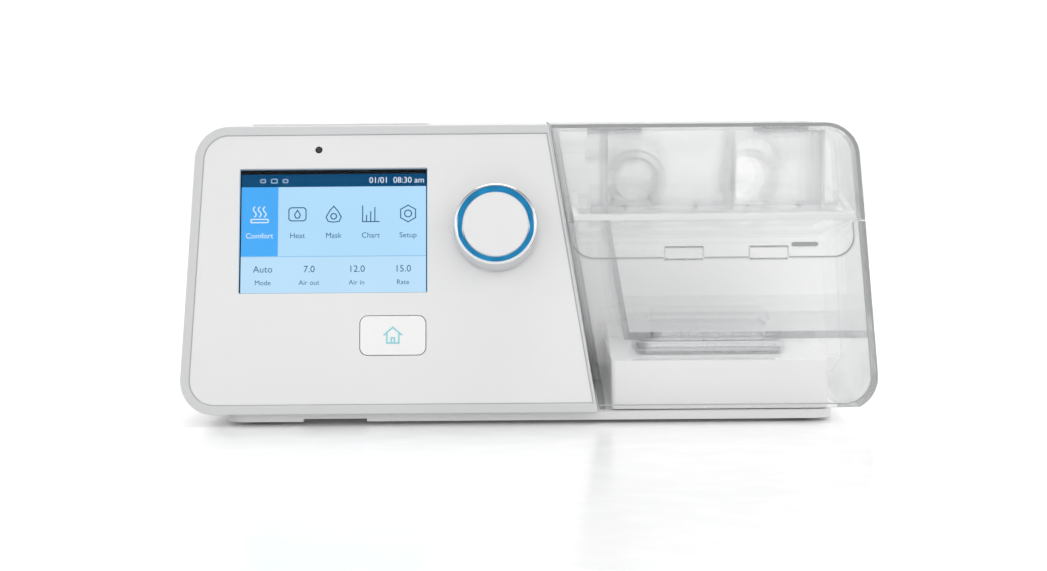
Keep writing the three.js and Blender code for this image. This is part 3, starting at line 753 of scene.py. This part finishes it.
def text(name, words, colour, x, y, height, level=3, align="CENTER"):
    """Generic words or numbers on the display, centred at fractions of its size."""
    curve = bpy.data.curves.new(name, "FONT")
    curve.body = words
    curve.size = height * FONT_SIZE_PER_CAPITAL * MM
    curve.align_x = align
    curve.align_y = "CENTER"
    curve.extrude = LAYER / 2 * MM
    temporary = bpy.data.objects.new(name, curve)
    bpy.context.scene.collection.objects.link(temporary)
    graph = bpy.context.evaluated_depsgraph_get()
    mesh = bpy.data.meshes.new_from_object(temporary.evaluated_get(graph))
    bpy.data.objects.remove(temporary)
    spot = Vector((across_screen(x), down_screen(y), FACE + (level - 0.5) * LAYER))
    at = PANEL @ Matrix.Translation(spot)
    mesh.transform(Matrix.Scale(MM, 4) @ at @ Matrix.Scale(1 / MM, 4))
    piece = bpy.data.objects.new(name, mesh)
    bpy.context.scene.collection.objects.link(piece)
    place(name, piece, "root", LIT[colour], "display", 0.0)


def stroke_outline(start, end, width):
    """The four corners of a straight stroke with square ends."""
    (ax, ay), (bx, by) = start, end
    length = hypot(bx - ax, by - ay)
    ux, uy = (bx - ax) / length * width / 2, (by - ay) / length * width / 2
    return [
        (ax - ux + uy, ay - uy - ux),
        (bx + ux + uy, by + uy - ux),
        (bx + ux - uy, by + uy + ux),
        (ax - ux - uy, ay - uy + ux),
    ]


def strokes(name, lines, colour, x, y, width, level=3):
    """An icon made of straight strokes, in millimetres about a point of the display."""
    cx, cy = across_screen(x), down_screen(y)
    low, high = FACE + (level - 1) * LAYER, FACE + level * LAYER
    points, faces = [], []
    for line in lines:
        for start, end in zip(line, line[1:]):
            corners = stroke_outline(start, end, width)
            base = len(points)
            for w in (low, high):
                points += [PANEL @ Vector((cx + u, cy + v, w)) for u, v in corners]
            faces.append((base + 3, base + 2, base + 1, base))
            faces.append((base + 4, base + 5, base + 6, base + 7))
            for i in range(4):
                k = (i + 1) % 4
                faces.append((base + i, base + k, base + 4 + k, base + 4 + i))
    mesh = bpy.data.meshes.new(name)
    mesh.from_pydata([p * MM for p in points], [], faces)
    piece = bpy.data.objects.new(name, mesh)
    bpy.context.scene.collection.objects.link(piece)
    place(name, piece, "root", LIT[colour], "display", 0.0)


def closed(outline):
    return [*outline, outline[0]]


def wave(x, y0, y1, swing, steps=14):
    points = []
    for i in range(steps + 1):
        t = i / steps
        points.append((x + swing * sin(t * 2 * pi), y0 + (y1 - y0) * t))
    return points


def comfort_icon():
    waves = [wave(x, -0.9, 3.0, 0.55) for x in (-1.9, 0, 1.9)]
    plate = closed(rect(-3.3, 3.3, -3.2, -1.9, 0.4, 4))
    return [*waves, plate]


def heater_icon():
    outer = closed(rect(-3.3, 3.3, -2.6, 2.6, 1.2, 5))
    drop = closed([(0, 1.6), (1.1, -0.2), (0.7, -1.3), (0, -1.6), (-0.7, -1.3), (-1.1, -0.2)])
    return [outer, drop]


def mask_icon():
    shell = closed(
        [(0, 3.1), (1.6, 1.2), (2.9, -1.2), (2.1, -2.9), (0, -3.2), (-2.1, -2.9), (-2.9, -1.2), (-1.6, 1.2)]
    )
    return [shell, arc(0, -0.9, 1.1, 0, 2 * pi, 14)]


def chart_icon():
    axes = [(-3.1, 3.1), (-3.1, -3.1), (3.2, -3.1)]
    bars = [[(x, -3.0), (x, top)] for x, top in ((-1.6, -0.6), (0, 0.8), (1.6, 2.4))]
    return [axes, *bars]


def gear_icon():
    hexagon = arc(0, 0, 3.3, pi / 6, 2 * pi + pi / 6, 6)
    return [hexagon, arc(0, 0, 1.35, 0, 2 * pi, 16)]


def house_icon():
    roof = [(-3.3, 0.2), (0, 3.1), (3.3, 0.2)]
    walls = [(-2.3, 0.6), (-2.3, -3.0), (2.3, -3.0), (2.3, 0.6)]
    door = [(-0.6, -2.9), (-0.6, -1.0), (0.6, -1.0), (0.6, -2.9)]
    return [roof, walls, door]


def display():
    place("lcd_look", display_frame(), "root", LIT["menu"], "display", 0.0, ["lcd_module"])
    # A black strip along the top: partly the display's black frame, partly painted shade of the window's
    # upper wall.
    band("screen_black_strip", "black", 0, 1, 0, 0.035)
    band("screen_status_bar", "status", 0, 1, 0.035, 0.137)
    band("screen_tab", "tab", 0, 0.203, 0.137, 0.703)
    band("screen_values", "values", 0, 1, 0.706, 1.0)
    band("screen_divider", "line", 0, 1, 0.699, 0.706, 2)
    icons = (comfort_icon, heater_icon, mask_icon, chart_icon, gear_icon)
    labels = ("Comfort", "Heat", "Mask", "Chart", "Setup")
    columns = (0.104, 0.306, 0.5, 0.698, 0.898)
    for icon, label, x in zip(icons, labels, columns):
        name = label.lower()
        ink = "white" if x == columns[0] else "ink"
        strokes(f"icon_{name}", icon(), ink, x, 0.36, 0.42)
        text(f"label_{name}", label, ink, x, 0.535, 2.1)
    values = (("Auto", "Mode"), ("7.0", "Air out"), ("12.0", "Air in"), ("15.0", "Rate"))
    for (value, label), x in zip(values, (0.124, 0.371, 0.625, 0.871)):
        name = label.lower().replace(" ", "_")
        text(f"value_{name}", value, "ink", x, 0.807, 2.6)
        text(f"sublabel_{name}", label, "ink", x, 0.915, 1.9)
    text("status_time", "01/01  08:30 am", "white", 0.985, 0.088, 2.3, align="RIGHT")
    # Black bands along the left, right and low edges: painted shade of the gap round the window, partly the
    # display's black frame.
    for name, edges in (("left", (0, 0.006)), ("right", (0.994, 1))):
        band(f"screen_edge_{name}", "black", *edges, 0.035, 1, 3, 0.01)
    band("screen_edge_low", "black", 0.006, 0.994, 0.991, 1, 3, 0.01)
    for i, size in enumerate((0.9, 1.1, 0.9)):
        shape = closed(rect(-size, size, -size * 0.7, size * 0.7, 0.4, 3))
        strokes(f"status_icon_{i + 1}", [shape], "pale", 0.12 + i * 0.06, 0.088, 0.3)


def screen_window():
    outline = rect(SCREEN_LOW.x, SCREEN_HIGH.x, SCREEN_LOW.y, SCREEN_HIGH.y, 0.5)
    return prism(outline, SCREEN_LOW.z, SCREEN_HIGH.z, PANEL)


display()
place("window_look", screen_window(), "root", WINDOW, "screen_glass", 0.2, ["screen_window"])


def home_icon():
    """The house printed on the home key."""
    low, high = panel_box("home_button")
    centre, stroke_width = (low + high) / 2, 0.6
    bars = []
    for line in house_icon():
        for start, end in zip(line, line[1:]):
            corners = stroke_outline(start, end, stroke_width)
            outline = [(centre.x + u, centre.y + v) for u, v in corners]
            bars.append(prism(outline, high.z - 0.2, high.z + 0.04, PANEL))
    return join(*bars)


ICON = plain("printed_icon", srgb(140, 205, 214), 0.4, contrast=0.05)
place("home_icon_look", home_icon(), "home_key", ICON, "button", 0.0)


# ---- Dock behind and under the tank ----
INLET_LOW, INLET_HIGH = box_mm("inlet_seal")
OUTLET_LOW, OUTLET_HIGH = box_mm("outlet_seal")
INLET = (INLET_LOW + INLET_HIGH) / 2
OUTLET = (OUTLET_LOW + OUTLET_HIGH) / 2
PORT_R = (INLET_HIGH.x - INLET_LOW.x) / 2 - 2.7


def dock_housing():
    low, high = box_mm("dock_housing")
    outer = common(across(body_outline(), low.y, high.y), right_of(GAP))
    inner = common(across(body_outline(WALL), low.y + WALL, FAR), right_of(GAP + WALL))
    return cut(
        outer,
        inner,
        round_y(INLET.x, INLET.z, 30, 60, PORT_R + 3),
        round_y(OUTLET.x, OUTLET.z, 30, 60, PORT_R + 3),
    )


def dock_floor():
    low, high = box_mm("dock_floor")
    return cut(
        prism(rect(low.x, high.x, low.y, high.y, 2), low.z, high.z),
        block(low.x + WALL, high.x - WALL, low.y + WALL, high.y - WALL, low.z - 5, high.z - WALL),
    )


def rounded_plate(node, inset, r):
    low, high = box_mm(node)
    outline = rect(low.x + inset, high.x - inset, low.y + inset, high.y - inset, r, CURVE)
    return outline, low.z, high.z


def heat_plate():
    outline, low, high = rounded_plate("tank_heat_plate", 0, 6)
    raised = rounded_plate("tank_heat_plate", 5, 4.5)[0]
    return join(prism(outline, low, low + 1.2), prism(raised, low + 0.5, high))


def plate_seal():
    outline, low, high = rounded_plate("plate_seal", 0, 6)
    inner = rounded_plate("plate_seal", 4.2, 3.2)[0]
    return cut(prism(outline, low, high), prism(inner, low - 1, high + 1))


def port_seal(node):
    low, high = box_mm(node)
    x, z = (low.x + high.x) / 2, (low.z + high.z) / 2
    outer = (high.x - low.x) / 2
    turn = Matrix.Rotation(-pi / 2, 4, "X")
    profile = [
        (PORT_R, low.y),
        (outer - 0.6, low.y),
        (outer, low.y + 0.6),
        (outer, high.y),
        (PORT_R, high.y),
    ]
    return lathe(profile, Matrix.Translation((x, 0, z)) @ turn)


def inlet_flap():
    """Thin valve flap that stands in the mouth of the air duct."""
    return round_y(INLET.x, INLET.z, INLET_HIGH.y + 1, INLET_HIGH.y + 1.8, PORT_R - 0.6)


dock_look = place("dock_housing_look", dock_housing(), "root", DOCK_PAINTED_LIGHT, "casing", 0.5, ["dock_housing"])
dock_look.data.materials.append(SHELL)
# Painted light: the faces toward the front take the near-white finish, the rest the shell grey.
for polygon in dock_look.data.polygons:
    polygon.material_index = 0 if polygon.normal.y < -0.5 else 1
place("dock_floor_look", dock_floor(), "root", WHITE, "panel", 0.4, ["dock_floor"])
heater = prism(*rounded_plate("heater_plate", 0, 7))
place("heater_plate_look", heater, "root", ALUMINIUM, "heater_metal", 0.4, ["heater_plate"])
place("heat_plate_look", heat_plate(), "tank", STEEL, "steel", 0.3, ["tank_heat_plate"])
place("plate_seal_look", plate_seal(), "tank", SILICONE, "silicone", 0.0, ["plate_seal"])
# The flap behind the tank takes the same near-white painted light.
place("inlet_flap_look", inlet_flap(), "root", DOCK_PAINTED_LIGHT, "silicone", 0.2)
for side in ("inlet", "outlet"):
    seal = port_seal(f"{side}_seal")
    place(f"{side}_seal_look", seal, "root", SILICONE, "silicone", 0.0, [f"{side}_seal"])


# ---- Water tank and lid ----
SHEET = 3.0  # front of the tank and skin of the lid
TANK_WALL = 2.4
TANK_GAP = 0.6
TANK_LOW, TANK_HIGH = box_mm("tank_body")
LID_LOW = box_mm("tank_lid")[0]
SEAL_LOW, SEAL_HIGH = box_mm("lid_seal")
BAFFLE_LOW, BAFFLE_HIGH = box_mm("lid_baffle")
PIN_LOW, PIN_HIGH = box_mm("hinge_pin_left")
SPLIT = SEAL_LOW.z - 0.4
LID_BACK = SEAL_HIGH.y + 2.9
TUB = {"low": 31.0, "high": 33.8, "offset": 14.5}
HINGE_Y, HINGE_Z = (PIN_LOW.y + PIN_HIGH.y) / 2, (PIN_LOW.z + PIN_HIGH.z) / 2
PIN_R = (PIN_HIGH.z - PIN_LOW.z) / 2
KNUCKLE_R = 3.1
HEATER_TOP = box_mm("heater_plate")[1].z
LATCHES = [panel_box("lid_latch_left"), panel_box("lid_latch_right")]
FLAP = {"right": 125.4, "bottom": LID_LOW.z, "left_r": 9.0, "right_r": 8.0}
EARS = ((25, 30), (42.6, 47.6), (94, 99), (111.6, 116.6))
KNUCKLES = ((30.3, 42.3), (99.3, 111.3))


def front_sheet():
    return common(across(body_outline(), -FAR, 60), right_of(TANK_GAP), slab(-SHEET, 0))


def skin(thickness, y1):
    hollow = across(body_outline(thickness), -FAR, FAR)
    return cut(across(body_outline(), -FAR, y1), hollow)


def tank_band(offset, thickness, y1):
    return cut(
        common(across(body_outline(), -FAR, y1), right_of(offset)), right_of(offset + thickness)
    )


def flap_outline(grow=0.0):
    low, high = FLAP["bottom"] - grow, SPLIT + 1.5
    left_r, right_r = FLAP["left_r"], FLAP["right_r"]
    left = seam_x(low + left_r) + TANK_GAP - grow
    right = FLAP["right"] + grow
    return [
        (right - 0.3, high),
        (seam_x(high) + TANK_GAP - grow, high),
        *arc(left + left_r, low + left_r, left_r, pi, 1.5 * pi),
        *arc(right - right_r, low + right_r, right_r, 1.5 * pi, 2 * pi),
    ]


def latch_outline(latch, grow):
    low, high = latch
    return rect(low.x - grow, high.x + grow, low.y - grow, high.y + grow, 0.7)


def pin_bore():
    return round_x(0, 140, HINGE_Y, HINGE_Z, PIN_R + GAP)


def heater_opening():
    low, high = box_mm("heater_plate")
    return prism(rect(low.x + 6, high.x - 6, low.y + 6, high.y - 6, 5, CURVE), 20, 40)


def tank_shell():
    y1 = TANK_HIGH.y
    side = common(skin(TANK_WALL, y1), block(117, 200, -FAR, y1, 0, 200), behind_front())
    left = common(tank_band(TANK_GAP, TANK_WALL, y1), behind_front())
    tub = common(tank_band(TUB["offset"], TANK_WALL, y1), behind_front(-1), above(TUB["low"]))
    floor = common(
        across(body_outline(1), -FAR, y1),
        right_of(TUB["offset"]),
        behind_front(-1),
        above(TUB["low"]),
        below(TUB["high"]),
    )
    walls = join(front_sheet(), side, left, tub, floor)
    return common(walls, above(TANK_LOW.z), below(SPLIT - GAP / 2))


def ear(x0, x1):
    stem = block(x0, x1, HINGE_Y, TANK_HIGH.y - 0.6, 102, HINGE_Z)
    return join(round_x(x0, x1, HINGE_Y, HINGE_Z, KNUCKLE_R), stem)


def tank_back():
    y1 = TANK_HIGH.y
    back = common(
        across(body_outline(1), y1 - TANK_WALL, y1),
        right_of(TANK_GAP),
        above(TANK_LOW.z + 3),
        below(105),
    )
    ledge = common(
        across(body_outline(1), SEAL_HIGH.y - 3.3, y1 - 1),
        right_of(TANK_GAP + 1),
        above(SPLIT - 2.6),
        below(SPLIT - GAP / 2),
    )
    return join(back, ledge, *[ear(*reach) for reach in EARS])


def tank_body():
    pocket = common(across(flap_outline(GAP), -FAR, 60), slab(-2.5, 20))
    latches = [prism(latch_outline(latch, GAP), -2.5, 5, PANEL) for latch in LATCHES]
    clearance = common(block(29, 115.5, -FAR, 50, 0, HEATER_TOP + 2 * GAP), behind_front(-SHEET))
    return cut(
        join(tank_shell(), tank_back()),
        pocket,
        *latches,
        clearance,
        round_y(INLET.x, INLET.z, 30, 60, PORT_R),
        round_y(OUTLET.x, OUTLET.z, 30, 60, PORT_R),
        heater_opening(),
        pin_bore(),
    )


def lid_shell():
    skin_part = common(skin(SHEET, LID_BACK), right_of(TANK_GAP), behind_front())
    left = common(tank_band(TANK_GAP, TANK_WALL, LID_BACK), behind_front())
    rear = cut(
        common(across(body_outline(1), LID_BACK - 2.6, LID_BACK), right_of(TANK_GAP)),
        round_y(INLET.x, INLET.z, 0, 60, PORT_R + 1),
        round_y(OUTLET.x, OUTLET.z, 0, 60, PORT_R + 1),
    )
    return common(join(front_sheet(), skin_part, left, rear), above(SPLIT + GAP / 2))


def latch_gap(latch):
    low, high = latch
    mouth = rect(low.x - GAP, high.x + GAP, low.y - 2.6, low.y + 1.0, 0.4)
    upper = prism(latch_outline(latch, GAP), -4, 4, PANEL)
    return join(upper, prism(mouth, -4, 4, PANEL))


def knuckle(x0, x1):
    arm = block(x0, x1, LID_BACK - 3, HINGE_Y, HINGE_Z - 0.2, HINGE_Z + 2.6)
    return join(round_x(x0, x1, HINGE_Y, HINGE_Z, KNUCKLE_R), arm)


def tank_lid():
    flap = common(across(flap_outline(), -FAR, 60), slab(-2.2, 0))
    body = join(lid_shell(), flap, *[knuckle(*reach) for reach in KNUCKLES])
    return cut(body, *[latch_gap(latch) for latch in LATCHES], pin_bore())


def lid_baffle():
    low, high = BAFFLE_LOW, BAFFLE_HIGH
    t, divider = 2.0, 80.0
    x0, x1, y0 = low.x + 5, high.x - 4, low.y + 8
    walls = join(
        block(x0, x0 + t, y0, high.y, low.z, high.z),
        block(x1 - t, x1, y0, high.y, low.z, high.z),
        block(x0, x1, y0, y0 + t, low.z, high.z),
        block(divider, divider + t, y0, high.y - 10, low.z, high.z),
    )
    floor = cut(
        prism(rect(low.x, high.x, low.y, high.y, 1.5), low.z, low.z + t),
        prism(centred(53, 2, 30, 22, 5), 0, 200),
        prism(centred(98, 2, 22, 22, 5), 0, 200),
    )
    return join(walls, floor)


def lid_seal():
    inside = common(
        across(body_outline(SHEET + GAP), -FAR, SEAL_HIGH.y),
        right_of(TANK_GAP + TANK_WALL + GAP),
        behind_front(-SHEET - GAP),
    )
    hollow = common(
        across(body_outline(5.6), -FAR, SEAL_HIGH.y - 2.6),
        right_of(TANK_GAP + TANK_WALL + 2.6),
        behind_front(-5.8),
    )
    return common(cut(inside, hollow), above(SEAL_LOW.z), below(SEAL_HIGH.z))


def lid_latch(latch):
    low, high = latch
    return prism(latch_outline(latch, 0), low.z, high.z, PANEL)


def hinge_pin(node):
    low, high = box_mm(node)
    turn = Matrix.Rotation(pi / 2, 4, "Y")
    r, length = PIN_R, high.x - low.x
    profile = [(0, 0), (r - 0.3, 0), (r, 0.3), (r, length - 0.3), (r - 0.3, length), (0, length)]
    return lathe(profile, Matrix.Translation((low.x, HINGE_Y, HINGE_Z)) @ turn, 48)


def paint_edge_shade(body):
    """Gives the faces that run back from the front a greyer, less see-through clear finish: painted shade
    standing in for the dark look of a clear sheet's edge.
    """
    body.data.materials.append(CLEAR_EDGE_SHADE)
    for polygon in body.data.polygons:
        if abs(polygon.normal.y) < 0.5:
            polygon.material_index = 1
    return body


tank_look = place("tank_body_look", tank_body(), "tank", CLEAR, "clear", 0.45, ["tank_body"])
lid_look = place("tank_lid_look", tank_lid(), "lid", CLEAR, "clear", 0.45, ["tank_lid"])
baffle_look = place("lid_baffle_look", lid_baffle(), "lid", CLEAR, "clear", 0.3, ["lid_baffle"])
# Painted shade on the edge-on faces of the tank, the lid and the baffle.
for look in (tank_look, lid_look, baffle_look):
    paint_edge_shade(look)


def shade_strip(outer, inner, low_z, high_z):
    """A narrow opaque grey strip just under the clear face: painted shade along the sheet's edge, where the
    clear edge looks dark.
    """
    strip = common(
        across(outer, -FAR, 60),
        right_of(TANK_GAP + 0.3),
        slab(-1.0, -0.12),
        above(low_z),
        below(high_z),
    )
    return cut(strip, across(inner, -FAR, FAR))


# Painted shade along the flap's outline.
def flap_shade_strip():
    strip = common(
        across(flap_outline(-0.12), -FAR, 60), slab(-0.9, -0.12), below(SPLIT - 0.5)
    )
    notches = [latch_gap(latch) for latch in LATCHES]
    return cut(strip, across(flap_outline(-0.55), -FAR, FAR), *notches)


def flap_slot_shade():
    """A grey plate inside the clear flap by the right-hand latch: painted shade standing in for a dark
    slot.
    """
    right = LATCHES[1][1]
    return prism(rect(right.x + 1.4, right.x + 11.6, right.y, right.y + 1.6, 0.8), -0.8, -0.1, PANEL)


# Painted shade along the outlines of the lid and the tank and along the tank's inner edge.
lid_shade_strip = shade_strip(body_outline(0.15), body_outline(1.5), SPLIT + 0.6, FAR)
tank_shade_strip = shade_strip(body_outline(0.15), body_outline(0.6), TANK_LOW.z + 0.3, SPLIT - 0.6)
inner_shade_strip = shade_strip(body_outline(2.4), body_outline(2.75), TANK_LOW.z + 0.3, SPLIT - 0.6)
place("lid_outline_shade_look", lid_shade_strip, "lid", RIM_SHADE, "clear", 0.0)
place("tank_outline_shade_look", tank_shade_strip, "tank", RIM_SHADE, "clear", 0.0)
place("tank_inner_outline_shade_look", inner_shade_strip, "tank", RIM_SHADE, "clear", 0.0)
place("flap_outline_shade_look", flap_shade_strip(), "lid", RIM_SHADE, "clear", 0.0)
place("flap_slot_look", flap_slot_shade(), "lid", RIM_SHADE, "clear", 0.0)
place("lid_seal_look", lid_seal(), "lid", SILICONE, "silicone", 0.3, ["lid_seal"])
for side, latch in zip(("left", "right"), LATCHES):
    node = f"lid_latch_{side}"
    paint_edge_shade(place(f"{node}_look", lid_latch(latch), f"latch_{side}", CLEAR, "clear", 0.3, [node]))
    pin = f"hinge_pin_{side}"
    place(f"{pin}_look", hinge_pin(pin), "tank", STEEL, "steel", 0.0, [pin])


# ---- Carried-over CAD pieces ----
CARRIED = {
    "main_board": (BOARD, 0.2),
    "power_board": (BOARD, 0.2),
    "home_switch": (DARK, 0.3),
    "power_switch": (DARK, 0.3),
    "encoder_body": (DARK, 0.3),
    "encoder_shaft": (STEEL, 0.2),
    "encoder_stem": (DARK, 0.3),
    "blower_base": (DARK, 0.5),
    "blower_cover": (DARK, 0.5),
    "impeller": (WHITE, 0.2),
    "motor_shaft": (STEEL, 0.2),
    "motor_stator": (COPPER, 0.4),
    "blower_mount": (SILICONE, 0.5),
    "air_duct": (SILICONE, 0.0),
    "filter_housing": (WHITE, 0.4),
    "air_filter": (FOAM, 0.6),
    "sd_socket": (STEEL, 0.2),
    "sd_card": (DARK, 0.25),
    "speaker": (DARK, 0.4),
    "heater_film": (DARK, 0.1),
}
SCREWS = {f"base_screw_{i}": (STEEL, 0.2) for i in range(1, 5)}


def dress(node, finish, width):
    body = frame["nodes"][node]
    body.data.materials.clear()
    body.data.materials.append(finish)
    if width > 0:
        bevel = body.modifiers.new("edges", "BEVEL")
        bevel.width = width * MM
        bevel.segments = 2
        bevel.limit_method = "ANGLE"
        bevel.angle_limit = BEVEL_ANGLE


for node, (finish, width) in {**CARRIED, **SCREWS}.items():
    dress(node, finish, width)


# ---- Stage ----
def floor_finish():
    """Pale and slightly glossy, with a faint glow like a light table."""
    finish = plain("floor", (0.93, 0.93, 0.93), 0.2, contrast=0.005, relief=0.0)
    shader = finish.node_tree.nodes["Principled BSDF"]
    shader.inputs["Emission Color"].default_value = (1, 1, 1, 1)
    shader.inputs["Emission Strength"].default_value = 0.03
    return finish


def floor():
    reach = FAR * 20
    body = block(-reach, reach, -reach, reach, -2, -0.02)
    body.name = "floor"
    body.data.materials.append(floor_finish())


def soft_light(name, spot, aim, size, power):
    light = bpy.data.lights.new(name, "AREA")
    light.shape = "DISK"
    light.size = size
    light.energy = power
    lamp = bpy.data.objects.new(name, light)
    bpy.context.scene.collection.objects.link(lamp)
    lamp.location = spot
    lamp.rotation_euler = (Vector(aim) - Vector(spot)).to_track_quat("-Z", "Y").to_euler()


STUDIO_LIGHT = 1.78
# Brightness of the room by height: (sine of the elevation, share of the studio light).
SKY = ((0.0, 0.62), (0.25, 0.64), (0.4, 0.85), (0.6, 0.7), (0.7, 0.3), (0.9, 0.3), (1.0, 0.4))


def grey(level):
    return level, level, level, 1


def studio():
    """White all round and darker overhead, so that shiny edges read."""
    world = bpy.data.worlds.new("studio")
    bpy.context.scene.world = world
    world.use_nodes = True
    nodes, links = world.node_tree.nodes, world.node_tree.links
    background = nodes["Background"]
    background.inputs["Strength"].default_value = STUDIO_LIGHT
    direction = nodes.new("ShaderNodeTexCoord")
    split = nodes.new("ShaderNodeSeparateXYZ")
    ramp = nodes.new("ShaderNodeValToRGB")
    links.new(direction.outputs["Generated"], split.inputs["Vector"])
    links.new(split.outputs["Z"], ramp.inputs["Fac"])
    links.new(ramp.outputs["Color"], background.inputs["Color"])
    elements = ramp.color_ramp.elements
    (low, low_level), (high, high_level) = SKY[0], SKY[-1]
    elements[0].position, elements[0].color = low, grey(low_level)
    elements[1].position, elements[1].color = high, grey(high_level)
    for position, level in SKY[1:-1]:
        stop = elements.new(position)
        stop.color = grey(level)


def camera():
    middle = -60.0 * MM
    rise, distance = radians(3.55), 1050 * MM
    aim = Vector((-1.8 * MM, middle, 52 * MM))
    eye = Vector((0, middle - distance * cos(rise), 57 * MM + distance * sin(rise)))
    lens = bpy.data.cameras.new("camera")
    lens.lens = 94.6
    lens.sensor_width = 36.0
    body = bpy.data.objects.new("camera", lens)
    bpy.context.scene.collection.objects.link(body)
    body.location = eye
    turn = (aim - eye).to_track_quat("-Z", "Y")
    body.rotation_euler = (turn.to_matrix() @ Matrix.Rotation(radians(-0.45), 3, "Z")).to_euler()
    bpy.context.scene.camera = body


floor()
studio()
soft_light("overhead", (0.0, 0.4, 1.4), (0.0, 0.0, 0.05), 1.2, 10.5)
camera()
bpy.context.scene.view_settings.view_transform = "Standard"
